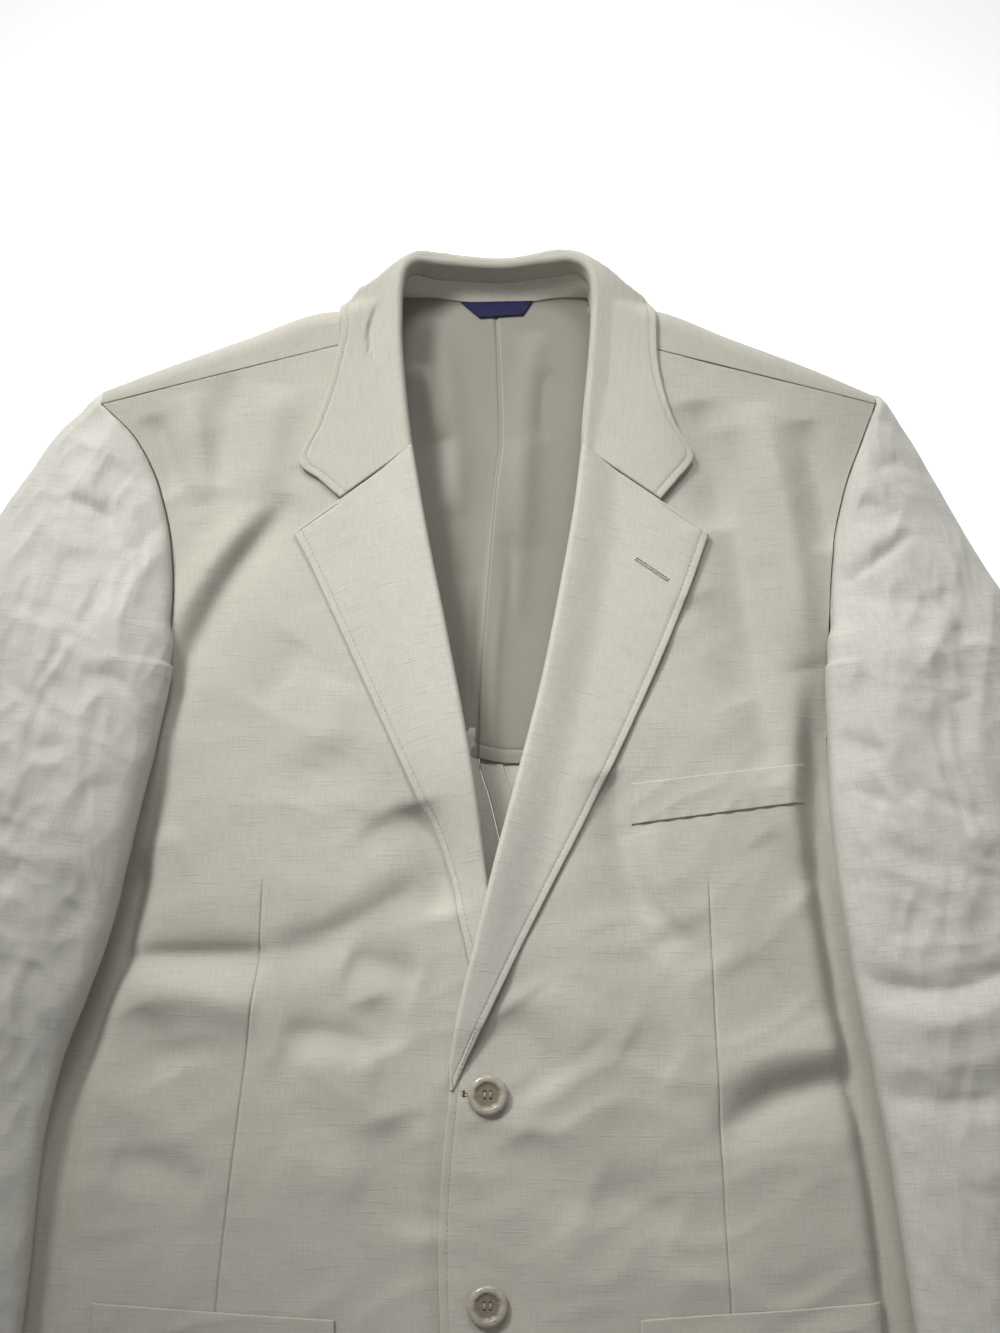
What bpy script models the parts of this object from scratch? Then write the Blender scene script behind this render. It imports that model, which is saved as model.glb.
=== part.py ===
"""A single-breasted linen blazer, buttoned and laid flat on its back.

Metres, +Z up. X runs across the garment (+X is the wearer's left side), Y runs from the hem
to the collar, and Z is the height above the surface that the back lies on. The back panels
lie flat and wrap over the shoulders, the fronts arch over them down to the side seams, the
lapels and the collar fold back onto the fronts, and the sleeves lie over the flanks.
"""

import math

import bmesh
import bpy
import numpy as np
from mathutils import Vector

# Cloth walls and the clearances between pieces.
SEAM_GAP = 0.0003
LAY_GAP = 0.0009
BACK_WALL = 0.0015
LINING_WALL = 0.0010
FRONT_WALL = 0.0025
FACING_WALL = 0.0022
COLLAR_WALL = 0.0025
STAND_WALL = 0.0015
COLLAR_EASE = 0.0016
SLEEVE_WALL = 0.0015
WELT_WALL = 0.0012
LABEL_WALL = 0.0008

# Main levels along the garment.
HEM_Y = -0.396
PIT_Y = 0.070
NECK_Y = 0.396
SHOULDER_NECK = (0.079, 0.355)
SHOULDER_TIP = (0.2375, 0.315)

# Height of the turned edge where a dome comes down to what it lies on.
EDGE_HEIGHT = 0.003
SIDE_SEAM_Z = BACK_WALL + SEAM_GAP

# The left front's closure lies over the right front.
OVERLAP_RAISE = 0.0029
OVERLAP_FADE_X = (0.100, 0.045)
OVERLAP_FADE_Y = (0.140, 0.060)
# The right front sinks under the left lapel.
LAPEL_DIP = 0.0075
LAPEL_DIP_Y = -0.015
LAPEL_DIP_LENGTH = 0.085
LAPEL_DIP_FADE_X = (-0.075, -0.025)

# Rounded shoulder edge of the back, the fold of a lapel and of the collar.
SHOULDER_RADIUS = 0.014
ROLL_RADIUS = 0.004
LAPEL_RADIUS = 0.003
FALL_SLOPE = 0.28
WALL_FOOT = 0.003
# Spacing of the points along a folded section, and how finely the outline is searched.
SECTION_STEP = 0.002
OUTLINE_STEP = 0.0005
OUTLINE_REACH = 0.080

# Reach of the high points that a sleeve lies on, and how the sleeve comes off the flank.
LAY_REACH = 0.011
FLANK_EASE = (0.036, 0.014)
FLANK_END_Y = (PIT_Y + 0.068, PIT_Y + 0.048)
# An end row's wall is not squared up where the cloth leans more than this.
STEEP_TILT = 0.6

BUTTON_RADIUS = 0.0115
BUTTON_CENTRES = {"button_upper": (0.0, -0.097), "button_lower": (0.0, -0.212)}

LINEN = (0.590, 0.575, 0.520, 1.0)
LINEN_COOL = (0.560, 0.555, 0.520, 1.0)
SATEEN = (0.270, 0.255, 0.225, 1.0)
NAVY = (0.014, 0.016, 0.060, 1.0)
HORN = (0.520, 0.470, 0.370, 1.0)


def columns(names, *rows):
    """A table as named columns."""
    return dict(zip(names.split(), np.array(rows, float).T))


# Outer boundary of each front, hem to shoulder tip: side seam to the pit, then the armhole.
# Distances are measured outward from the centre line on that side.
FRONT_OUTER = columns(
    "at y right left",
    (0.00, -0.396, 0.2840, 0.2760),
    (0.13, -0.300, 0.2820, 0.2720),
    (0.27, -0.190, 0.2720, 0.2620),
    (0.40, -0.085, 0.2640, 0.2520),
    (0.50, 0.000, 0.2660, 0.2560),
    (0.58, 0.070, 0.2740, 0.2700),
    (0.62, 0.088, 0.2590, 0.2560),
    (0.65, 0.103, 0.2400, 0.2400),
    (0.68, 0.117, 0.2200, 0.2250),
    (0.72, 0.133, 0.2010, 0.2115),
    (0.76, 0.152, 0.1915, 0.2040),
    (0.81, 0.190, 0.1890, 0.2055),
    (0.86, 0.225, 0.1915, 0.2090),
    (0.91, 0.260, 0.1995, 0.2165),
    (0.96, 0.292, 0.2150, 0.2285),
    (1.00, 0.315, 0.2375, 0.2375),
)
PIT_ROW = 5

# Inner boundary of each front: cut-away corner, closure edge, lapel roll, neckline.
FRONT_INNER = columns(
    "at y right left",
    (0.00, -0.400, 0.0800, 0.0750),
    (0.05, -0.384, 0.0400, 0.0360),
    (0.10, -0.352, 0.0100, 0.0080),
    (0.16, -0.305, -0.0140, -0.0140),
    (0.22, -0.250, -0.0260, -0.0250),
    (0.30, -0.180, -0.0290, -0.0280),
    (0.40, -0.092, -0.0280, -0.0215),
    (0.48, -0.030, -0.0075, -0.0078),
    (0.54, 0.026, 0.0050, 0.0058),
    (0.60, 0.075, 0.0112, 0.0186),
    (0.67, 0.130, 0.0208, 0.0330),
    (0.74, 0.180, 0.0305, 0.0438),
    (0.81, 0.228, 0.0402, 0.0526),
    (0.88, 0.280, 0.0497, 0.0603),
    (0.94, 0.320, 0.0620, 0.0700),
    (1.00, 0.355, 0.0790, 0.0790),
)

# Armhole edge of the back, from the pit up to the shoulder tip.
BACK_ARMHOLE = columns(
    "y right left",
    (0.070, 0.2740, 0.2700),
    (0.095, 0.2580, 0.2560),
    (0.125, 0.2440, 0.2450),
    (0.160, 0.2320, 0.2340),
    (0.210, 0.2230, 0.2260),
    (0.260, 0.2270, 0.2290),
    (0.315, 0.2375, 0.2375),
)

# The centre-back seam, hem to neck, and how far out it pulls the panels' columns.
CENTRE_BACK = columns(
    "y x",
    (HEM_Y, 0.0040),
    (-0.200, 0.0060),
    (0.000, 0.0095),
    (0.032, 0.0090),
    (0.074, 0.0010),
    (0.100, -0.0060),
    (0.200, -0.0030),
    (NECK_Y, 0.0040),
)
CENTRE_BACK_REACH = 0.2

# Where the back folds over the shoulder, outward from the neck.
SHOULDER_FOLD = columns(
    "across right left",
    (0.0550, 0.3950, 0.3960),
    (0.0800, 0.3845, 0.3880),
    (0.0930, 0.3790, 0.3810),
    (0.1030, 0.3780, 0.3795),
    (0.1500, 0.3610, 0.3610),
    (0.2050, 0.3405, 0.3395),
    (0.2375, 0.3275, 0.3245),
)
NECK_ACROSS = 0.062
WRAP_ACROSS = 0.079

# How high the fronts arch above their side seams, hem to collar.
CROWN = columns(
    "y height",
    (-0.400, 0.009),
    (-0.300, 0.012),
    (-0.200, 0.016),
    (-0.090, 0.021),
    (0.000, 0.023),
    (0.100, 0.025),
    (0.200, 0.026),
    (0.300, 0.027),
    (0.420, 0.028),
)
# Above the pit the arch is wider than the cut cloth, because the shoulders hold it up.
ARCH_ABOVE_PIT = columns(
    "y half_width",
    (0.150, 0.302),
    (0.220, 0.340),
    (0.320, 0.430),
)
ARCH_ROUND = 2.6
ARCH_FLAT = 0.62
# Share of the arch's height at which its folds are full.
FOLDS_FULL = 0.35

# Largest folds of the fronts: a soft ridge or trough along each line.
FRONT_FOLDS = columns(
    "x0 y0 x1 y1 height width",
    (-0.132, 0.232, -0.165, 0.168, -0.0035, 0.016),
    (-0.152, 0.228, -0.182, 0.160, 0.0030, 0.014),
    (-0.200, 0.300, -0.184, 0.252, -0.0025, 0.012),
    (-0.214, -0.021, -0.110, -0.019, -0.0030, 0.014),
    (-0.214, -0.046, -0.120, -0.042, 0.0028, 0.016),
    (-0.205, -0.082, -0.110, -0.068, -0.0022, 0.016),
    (0.172, 0.290, 0.168, 0.165, -0.0028, 0.015),
    (0.200, 0.250, 0.196, 0.190, 0.0022, 0.014),
    (0.086, 0.040, 0.112, -0.015, -0.0032, 0.017),
    (0.165, -0.094, 0.215, -0.100, -0.0035, 0.014),
    (0.120, -0.075, 0.205, -0.078, 0.0022, 0.016),
    (-0.190, -0.170, -0.120, -0.180, -0.0020, 0.018),
    (0.130, -0.165, 0.200, -0.160, -0.0020, 0.018),
)
# Largest folds of the sleeves.
SLEEVE_FOLDS = columns(
    "x0 y0 x1 y1 height width",
    (-0.256, 0.254, -0.228, 0.240, -0.0030, 0.010),
    (-0.300, 0.150, -0.318, 0.050, -0.0030, 0.015),
    (-0.345, 0.120, -0.352, -0.010, 0.0025, 0.016),
    (-0.270, 0.060, -0.390, 0.030, -0.0030, 0.013),
    (-0.275, 0.020, -0.395, -0.010, 0.0030, 0.014),
    (-0.280, -0.030, -0.400, -0.045, -0.0035, 0.013),
    (-0.300, -0.130, -0.310, -0.240, -0.0025, 0.015),
    (0.254, 0.232, 0.218, 0.204, -0.0035, 0.010),
    (0.262, 0.180, 0.300, 0.060, -0.0028, 0.015),
    (0.320, 0.140, 0.345, 0.010, 0.0026, 0.016),
    (0.232, -0.036, 0.290, -0.026, -0.0045, 0.011),
    (0.240, -0.056, 0.360, -0.040, 0.0030, 0.014),
    (0.235, -0.100, 0.330, -0.096, -0.0035, 0.012),
    (0.330, -0.140, 0.338, -0.240, -0.0025, 0.015),
)

# Lapel rolls, break point to gorge, and the lapels' outer edges.
LAPEL_LEFT = columns(
    "at roll_x roll_y edge_x edge_y",
    (0.00, -0.0225, -0.081, -0.0125, -0.0790),
    (0.10, -0.0180, -0.054, -0.0010, -0.0560),
    (0.22, -0.0080, -0.012, 0.0200, -0.0140),
    (0.34, 0.0035, 0.035, 0.0430, 0.0300),
    (0.47, 0.0165, 0.084, 0.0680, 0.0780),
    (0.62, 0.0315, 0.143, 0.0960, 0.1370),
    (0.78, 0.0435, 0.203, 0.1200, 0.1930),
    (0.90, 0.0520, 0.252, 0.1310, 0.2220),
    (1.00, 0.0562, 0.286, 0.1345, 0.2315),
)
LAPEL_RIGHT = columns(
    "at roll_x roll_y edge_x edge_y",
    (0.00, 0.0120, -0.030, -0.0080, -0.0360),
    (0.14, 0.0010, 0.018, -0.0200, 0.0120),
    (0.30, -0.0060, 0.070, -0.0400, 0.0650),
    (0.48, -0.0140, 0.118, -0.0640, 0.1180),
    (0.66, -0.0250, 0.175, -0.0890, 0.1720),
    (0.84, -0.0370, 0.235, -0.1110, 0.2180),
    (1.00, -0.0458, 0.286, -0.1185, 0.2315),
)
LAPEL_ROLL_RISE = 0.005
LAPEL_ROLL_BASE = 0.002
LAPEL_ROLL_REACH = 0.030
LAPEL_ROLL_FULL = 0.35
LAPEL_FOOT_OUT = 0.0008

# The collar, a row for each section along its roll, from the right gorge round the neck to
# the left one: the roll's place and height, the outward direction, the width of the fall,
# how far the inner side goes down from the roll, and how far it leans outward.
COLLAR = columns(
    "x y z angle width drop lean",
    (-0.0460, 0.2864, 0.0370, 216.9, 0.0545, 0.004, 0.0020),
    (-0.0475, 0.2985, 0.0375, 210.7, 0.0646, 0.006, 0.0020),
    (-0.0490, 0.3105, 0.0380, 207.6, 0.0745, 0.008, 0.0020),
    (-0.0505, 0.3250, 0.0385, 205.7, 0.0620, 0.010, 0.0020),
    (-0.0520, 0.3420, 0.0390, 204.5, 0.0520, 0.011, 0.0020),
    (-0.0530, 0.3600, 0.0390, 203.5, 0.0460, 0.012, 0.0020),
    (-0.0530, 0.3770, 0.0390, 199.0, 0.0410, 0.012, 0.0020),
    (-0.0525, 0.3890, 0.0390, 186.0, 0.0410, 0.012, 0.0010),
    (-0.0510, 0.3985, 0.0380, 168.0, 0.0410, 0.012, 0.0000),
    (-0.0470, 0.4045, 0.0345, 135.0, 0.0410, 0.012, -0.0015),
    (-0.0400, 0.4070, 0.0295, 108.0, 0.0410, 0.012, -0.0030),
    (-0.0270, 0.4070, 0.0250, 94.0, 0.0400, 0.012, -0.0035),
    (0.0060, 0.4055, 0.0230, 90.0, 0.0400, 0.012, -0.0035),
    (0.0330, 0.4080, 0.0250, 86.0, 0.0400, 0.012, -0.0035),
    (0.0470, 0.4085, 0.0290, 74.0, 0.0410, 0.012, -0.0030),
    (0.0560, 0.4050, 0.0345, 45.0, 0.0410, 0.012, -0.0015),
    (0.0610, 0.3980, 0.0380, 12.0, 0.0410, 0.012, 0.0000),
    (0.0628, 0.3890, 0.0390, -5.0, 0.0410, 0.012, 0.0010),
    (0.0630, 0.3770, 0.0390, -14.0, 0.0420, 0.012, 0.0020),
    (0.0622, 0.3600, 0.0390, -19.0, 0.0440, 0.012, 0.0020),
    (0.0608, 0.3420, 0.0390, -22.0, 0.0500, 0.011, 0.0020),
    (0.0592, 0.3250, 0.0385, -23.4, 0.0600, 0.010, 0.0020),
    (0.0577, 0.3105, 0.0380, -23.9, 0.0746, 0.008, 0.0020),
    (0.0567, 0.2985, 0.0375, -29.4, 0.0670, 0.006, 0.0020),
    (0.0562, 0.2864, 0.0370, -34.8, 0.0585, 0.004, 0.0020),
)
# The outline that the collar's fold shows from above.
COLLAR_OUTLINE = columns(
    "x y",
    (-0.110, 0.3765),
    (-0.084, 0.3865),
    (-0.071, 0.3940),
    (-0.051, 0.4120),
    (-0.044, 0.4165),
    (-0.031, 0.4170),
    (0.006, 0.4140),
    (0.020, 0.4150),
    (0.041, 0.4190),
    (0.054, 0.4155),
    (0.064, 0.4090),
    (0.079, 0.3980),
    (0.092, 0.3865),
    (0.115, 0.3750),
)
# Where the stand meets the neck seam, measured from the roll as the collar's rows are, and how
# far its upper edge sinks below the collar where it turns outward.
STAND_FOOT = columns(
    "row out z sink",
    (4.5, 0.0110, 0.0190, 0.0020),
    (6.0, 0.0100, 0.0180, 0.0020),
    (8.0, 0.0010, 0.0150, 0.0000),
    (10.0, -0.0080, 0.0055, 0.0000),
    (12.0, -0.0115, 0.0034, 0.0000),
    (14.0, -0.0100, 0.0055, 0.0000),
    (16.0, -0.0005, 0.0160, 0.0000),
    (18.0, 0.0025, 0.0190, 0.0012),
    (19.5, 0.0080, 0.0190, 0.0020),
)

# Sleeves below the armhole: the inner fold, and the outer fold from the shoulder down.
SLEEVE_RIGHT = columns(
    "at inner_x inner_y outer_x outer_y puff",
    (0.00, -0.1900, 0.1520, -0.3550, 0.1630, 0.024),
    (0.12, -0.1950, 0.1100, -0.3730, 0.1290, 0.026),
    (0.22, -0.2035, 0.0720, -0.3890, 0.0950, 0.027),
    (0.32, -0.2110, 0.0350, -0.4010, 0.0600, 0.027),
    (0.42, -0.2195, -0.0020, -0.4105, 0.0220, 0.027),
    (0.52, -0.2330, -0.0430, -0.4175, -0.0170, 0.026),
    (0.62, -0.2470, -0.0820, -0.4215, -0.0570, 0.025),
    (0.72, -0.2560, -0.1300, -0.4225, -0.1080, 0.024),
    (0.86, -0.2610, -0.2060, -0.4190, -0.1960, 0.021),
    (1.00, -0.2680, -0.2770, -0.4155, -0.2670, 0.018),
)
SLEEVE_LEFT = columns(
    "at inner_x inner_y outer_x outer_y puff",
    (0.00, 0.2030, 0.1520, 0.3400, 0.1580, 0.024),
    (0.12, 0.2010, 0.1150, 0.3590, 0.1260, 0.026),
    (0.22, 0.2010, 0.0760, 0.3750, 0.0920, 0.027),
    (0.32, 0.2035, 0.0380, 0.3900, 0.0560, 0.027),
    (0.42, 0.2080, 0.0000, 0.4000, 0.0180, 0.027),
    (0.52, 0.2140, -0.0400, 0.4070, -0.0220, 0.026),
    (0.62, 0.2220, -0.0830, 0.4085, -0.0680, 0.025),
    (0.72, 0.2300, -0.1330, 0.4070, -0.1200, 0.024),
    (0.86, 0.2390, -0.2080, 0.4020, -0.2000, 0.021),
    (1.00, 0.2480, -0.2850, 0.3955, -0.2780, 0.018),
)
# Outline of the sleeve head, from the shoulder fold down to the row of the pit's fold.
HEAD_OUTER = columns(
    "at right_x right_y left_x left_y puff",
    (0.00, -0.2480, 0.3240, 0.2470, 0.3205, 0.0010),
    (0.12, -0.2550, 0.3165, 0.2530, 0.3135, 0.0030),
    (0.26, -0.2680, 0.3030, 0.2620, 0.2990, 0.0080),
    (0.42, -0.2850, 0.2770, 0.2790, 0.2660, 0.0140),
    (0.62, -0.3080, 0.2400, 0.3000, 0.2250, 0.0190),
    (0.82, -0.3330, 0.1990, 0.3220, 0.1880, 0.0225),
    (1.00, -0.3550, 0.1630, 0.3400, 0.1580, 0.0240),
)
# Inner edge of the under sleeve beside the back's armhole and over the flank.
UNDER_INNER = columns(
    "at right_x right_y left_x left_y",
    (0.00, -0.2385, 0.3150, 0.2385, 0.3140),
    (0.15, -0.2290, 0.2600, 0.2310, 0.2600),
    (0.30, -0.2250, 0.2100, 0.2280, 0.2100),
    (0.45, -0.2345, 0.1600, 0.2365, 0.1600),
    (0.62, -0.2510, 0.1280, 0.2520, 0.1280),
    (0.74, -0.2380, 0.1120, 0.2400, 0.1120),
    (0.86, -0.2200, 0.1020, 0.2230, 0.1020),
    (1.00, -0.2000, 0.0960, 0.2010, 0.0960),
)

# The lining's pleat, from its hem to the neck.
PLEAT = columns(
    "y x",
    (0.098, -0.006),
    (0.141, -0.005),
    (0.197, -0.001),
    (0.274, 0.005),
    (0.300, 0.008),
    (0.395, 0.005),
)
LINING_HEM = columns(
    "x y",
    (-0.200, 0.112),
    (-0.011, 0.101),
    (0.018, 0.096),
    (0.200, 0.106),
)

# Corners of the flat trim, from the lower inner corner round.
WELT_CORNERS = ((0.084, 0.057), (0.189, 0.071), (0.189, 0.094), (0.084, 0.081))
FLAP_CORNERS = ((0.084, -0.272), (0.222, -0.262), (0.224, -0.212), (0.086, -0.220))
LABEL_CORNERS = ((-0.006, 0.3810), (0.022, 0.3830), (0.028, 0.3925), (-0.018, 0.3915))


def through(keys, values):
    """A smooth curve through the given points that never swings past them."""
    keys = np.asarray(keys, float)
    values = np.asarray(values, float)
    step = np.diff(keys)
    slope = np.diff(values) / step
    tangent = np.zeros_like(values)
    for index in range(1, len(keys) - 1):
        before, after = slope[index - 1], slope[index]
        if before * after > 0.0:
            tangent[index] = 2.0 * before * after / (before + after)
    tangent[0], tangent[-1] = slope[0], slope[-1]

    def curve(position):
        position = np.clip(position, keys[0], keys[-1])
        cell = np.clip(np.searchsorted(keys, position) - 1, 0, len(step) - 1)
        part = (position - keys[cell]) / step[cell]
        rest = 1.0 - part
        ends = values[cell] * (1 + 2 * part) * rest**2 + values[cell + 1] * part**2 * (3 - 2 * part)
        swing = tangent[cell] * part * rest**2 - tangent[cell + 1] * part**2 * rest
        return ends + step[cell] * swing

    return curve


def fade(start, end, value):
    """0 at start and before, 1 at end and after, smooth between."""
    part = np.clip((value - start) / (end - start), 0.0, 1.0)
    return part * part * (3.0 - 2.0 * part)


side_names = {-1: "right", 1: "left"}
front_outer_y = through(FRONT_OUTER["at"], FRONT_OUTER["y"])
front_inner_y = through(FRONT_INNER["at"], FRONT_INNER["y"])
front_outer = {s: through(FRONT_OUTER["at"], FRONT_OUTER[n]) for s, n in side_names.items()}
front_inner = {s: through(FRONT_INNER["at"], FRONT_INNER[n]) for s, n in side_names.items()}
crown = through(CROWN["y"], CROWN["height"])
collar_outline = through(COLLAR_OUTLINE["x"], COLLAR_OUTLINE["y"])
centre_back = through(CENTRE_BACK["y"], CENTRE_BACK["x"])
pleat_x = through(PLEAT["y"], PLEAT["x"])
lining_hem = through(LINING_HEM["x"], LINING_HEM["y"])
shoulder_fold = {
    s: through(SHOULDER_FOLD["across"], SHOULDER_FOLD[n]) for s, n in side_names.items()
}
arch_half_width = {
    s: through(
        np.append(FRONT_OUTER["y"][: PIT_ROW + 1], ARCH_ABOVE_PIT["y"]),
        np.append(FRONT_OUTER[n][: PIT_ROW + 1], ARCH_ABOVE_PIT["half_width"]),
    )
    for s, n in side_names.items()
}
back_outer = {
    s: through(
        np.append(FRONT_OUTER["y"][:PIT_ROW], BACK_ARMHOLE["y"]),
        np.append(FRONT_OUTER[n][:PIT_ROW], BACK_ARMHOLE[n]),
    )
    for s, n in side_names.items()
}
neck_edge = {
    s: through(
        np.append(FRONT_INNER["y"], (0.388, 0.400)), np.append(FRONT_INNER[n], (0.068, 0.062))
    )
    for s, n in side_names.items()
}
front_edge_across = {
    s: through(FRONT_OUTER["y"], FRONT_OUTER[n]) for s, n in side_names.items()
}


def by_side(pair, x, value):
    """Read a pair of curves, one for each side of the centre line."""
    return np.where(x < 0.0, pair[-1](value), pair[1](value))


def folds(table, x, y):
    """The sum of the table's soft ridges and troughs at a point."""
    total = np.zeros(np.broadcast(x, y).shape)
    for x0, y0, x1, y1, height, width in zip(*table.values()):
        along = ((x - x0) * (x1 - x0) + (y - y0) * (y1 - y0)) / ((x1 - x0) ** 2 + (y1 - y0) ** 2)
        along = np.clip(along, 0.0, 1.0)
        away = np.hypot(x - x0 - along * (x1 - x0), y - y0 - along * (y1 - y0))
        total = total + height * np.exp(-((away / width) ** 2))
    return total


def arch_top(x, y):
    """Top of the fronts' arch over the body, before the closure's overlap."""
    reach = np.clip(np.abs(x) / by_side(arch_half_width, x, y), 0.0, 1.0)
    arch = (1.0 - reach**ARCH_ROUND) ** ARCH_FLAT
    level = SIDE_SEAM_Z + EDGE_HEIGHT + crown(y) * arch
    return level + folds(FRONT_FOLDS, x, y) * fade(0.0, FOLDS_FULL, arch)


def left_front_top(x, y):
    """The left front is lifted where the closure lies over the right front."""
    lift = fade(*OVERLAP_FADE_X, x) * fade(*OVERLAP_FADE_Y, y)
    return arch_top(x, y) + OVERLAP_RAISE * lift


def right_front_top(x, y):
    """The right front sinks where its lapel goes under the left lapel."""
    along = np.exp(-(((y - LAPEL_DIP_Y) / LAPEL_DIP_LENGTH) ** 4))
    return arch_top(x, y) - LAPEL_DIP * along * fade(*LAPEL_DIP_FADE_X, x)


def seam_y(across):
    """The straight shoulder seam, forward of the shoulder's fold."""
    part = (across - SHOULDER_NECK[0]) / (SHOULDER_TIP[0] - SHOULDER_NECK[0])
    return SHOULDER_NECK[1] + part * (SHOULDER_TIP[1] - SHOULDER_NECK[1])


def shoulder_top(x, y, lift=0.0):
    """Top of the fronts and of the back's rounded shoulder edge, moved out by lift."""
    fold_y = by_side(shoulder_fold, x, np.abs(x))
    level = arch_top(x, y)
    middle = level / 2.0
    radius = np.minimum(SHOULDER_RADIUS, fold_y - seam_y(np.abs(x)) - SEAM_GAP)
    beyond = np.clip((y - fold_y + radius) / (radius + lift), 0.0, 1.0)
    return middle + (middle + lift) * np.sqrt(1.0 - beyond**2)


def arch_cover(x, y):
    """Highest point of the fronts' arch close round a place."""
    height = arch_top(x, y)
    for step_x in (-LAY_REACH, LAY_REACH):
        for step_y in (-LAY_REACH, LAY_REACH):
            height = np.maximum(height, arch_top(x + step_x, y + step_y))
    return height + LAY_GAP


def flank_top(x, y):
    """What the under sleeves lie on: the front's flank, then the table beside it."""
    edge = np.maximum(
        by_side(front_edge_across, x, y), by_side(front_edge_across, x, y - LAY_REACH)
    )
    beside = fade(*FLANK_EASE, np.abs(x) - edge) * fade(*FLANK_END_Y, y)
    return arch_cover(x, y) * beside


def resample(points, fractions):
    """Points at the given fractions of a path's length."""
    points = np.asarray(points, float)
    lengths = np.append(0.0, np.cumsum(np.linalg.norm(np.diff(points, axis=0), axis=1)))
    targets = np.asarray(fractions) * lengths[-1]
    return np.stack([np.interp(targets, lengths, points[:, axis]) for axis in range(3)], axis=1)


def material(name, colour, roughness):
    """A plain Principled material."""
    made = bpy.data.materials.new(name)
    made.use_nodes = True
    shader = made.node_tree.nodes["Principled BSDF"]
    shader.inputs["Base Color"].default_value = colour
    shader.inputs["Roughness"].default_value = roughness
    shader.inputs["Metallic"].default_value = 0.0
    return made


def add_object(name, shape, colour, roughness=0.85):
    """Put a finished bmesh into the scene as one named object."""
    mesh = bpy.data.meshes.new(name)
    shape.to_mesh(mesh)
    shape.free()
    mesh.shade_smooth()
    mesh.set_sharp_from_angle(angle=math.radians(50.0))
    mesh.materials.append(material(name, colour, roughness))
    made = bpy.data.objects.new(name, mesh)
    bpy.context.collection.objects.link(made)
    return made


def in_end_plane(normal, row, index):
    """Keep an end row's wall in the upright plane of that row, where the cloth is not steep."""
    along = row[min(index + 1, len(row) - 1)].co - row[max(index - 1, 0)].co
    if along.xy.length < SEAM_GAP:
        along = row[-1].co - row[0].co
    across = Vector((-along.y, along.x, 0.0)).normalized()
    tilt = normal.dot(across)
    return normal if abs(tilt) > STEEP_TILT else normal - tilt * across


def wall(name, grid, thickness, colour, floor=None):
    """A cloth wall: the grid is its outer skin, the inner skin lies a thickness behind it."""
    grid = np.asarray(grid, float)
    rows, across = grid.shape[:2]
    shape = bmesh.new()
    outer = [[shape.verts.new(point) for point in row] for row in grid]
    skin = []
    for row in range(rows - 1):
        for column in range(across - 1):
            corners = (
                outer[row][column],
                outer[row][column + 1],
                outer[row + 1][column + 1],
                outer[row + 1][column],
            )
            skin.append(shape.faces.new(corners))
    shape.normal_update()
    inner = []
    for index, row in enumerate(outer):
        line = []
        for place_in_row, vertex in enumerate(row):
            normal = vertex.normal.copy()
            if index in (0, rows - 1):
                normal = in_end_plane(normal, row, place_in_row)
            place = vertex.co - thickness * normal
            if floor is not None:
                place.z = max(place.z, floor)
            line.append(shape.verts.new(place))
        inner.append(line)
    for row in range(rows - 1):
        for column in range(across - 1):
            corners = (
                inner[row][column],
                inner[row + 1][column],
                inner[row + 1][column + 1],
                inner[row][column + 1],
            )
            shape.faces.new(corners)
    rim_outer = outer[0] + [line[-1] for line in outer[1:]]
    rim_outer += outer[-1][-2::-1] + [line[0] for line in outer[-2:0:-1]]
    rim_inner = inner[0] + [line[-1] for line in inner[1:]]
    rim_inner += inner[-1][-2::-1] + [line[0] for line in inner[-2:0:-1]]
    for index, vertex in enumerate(rim_outer):
        following = (index + 1) % len(rim_outer)
        corners = (vertex, rim_inner[index], rim_inner[following], rim_outer[following])
        shape.faces.new(corners)
    bmesh.ops.recalc_face_normals(shape, faces=shape.faces)
    bmesh.ops.triangulate(shape, faces=shape.faces, quad_method="SHORT_EDGE")
    return add_object(name, shape, colour)


def facing(grid, up=True):
    """Order a grid so that most of its outer skin faces up, or down."""
    grid = np.asarray(grid, float)
    across = grid[:-1, 1:] - grid[:-1, :-1]
    along = grid[1:, :-1] - grid[:-1, :-1]
    rises = np.cross(across, along)[..., 2].sum() > 0.0
    return grid if rises == up else grid[::-1]


# ---- back panels ---------------------------------------------------------------------------

BACK_COLUMNS = (0.0, 0.115, 0.2611, 0.288, 0.312, 0.3326, 0.43, 0.55, 0.68, 0.82, 0.92, 1.0)
BACK_LEVELS = (HEM_Y, -0.300, -0.190, -0.085, 0.0, 0.070, 0.095, 0.125, 0.160, 0.210, 0.260)
BACK_TOP_ROWS = 11


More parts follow.
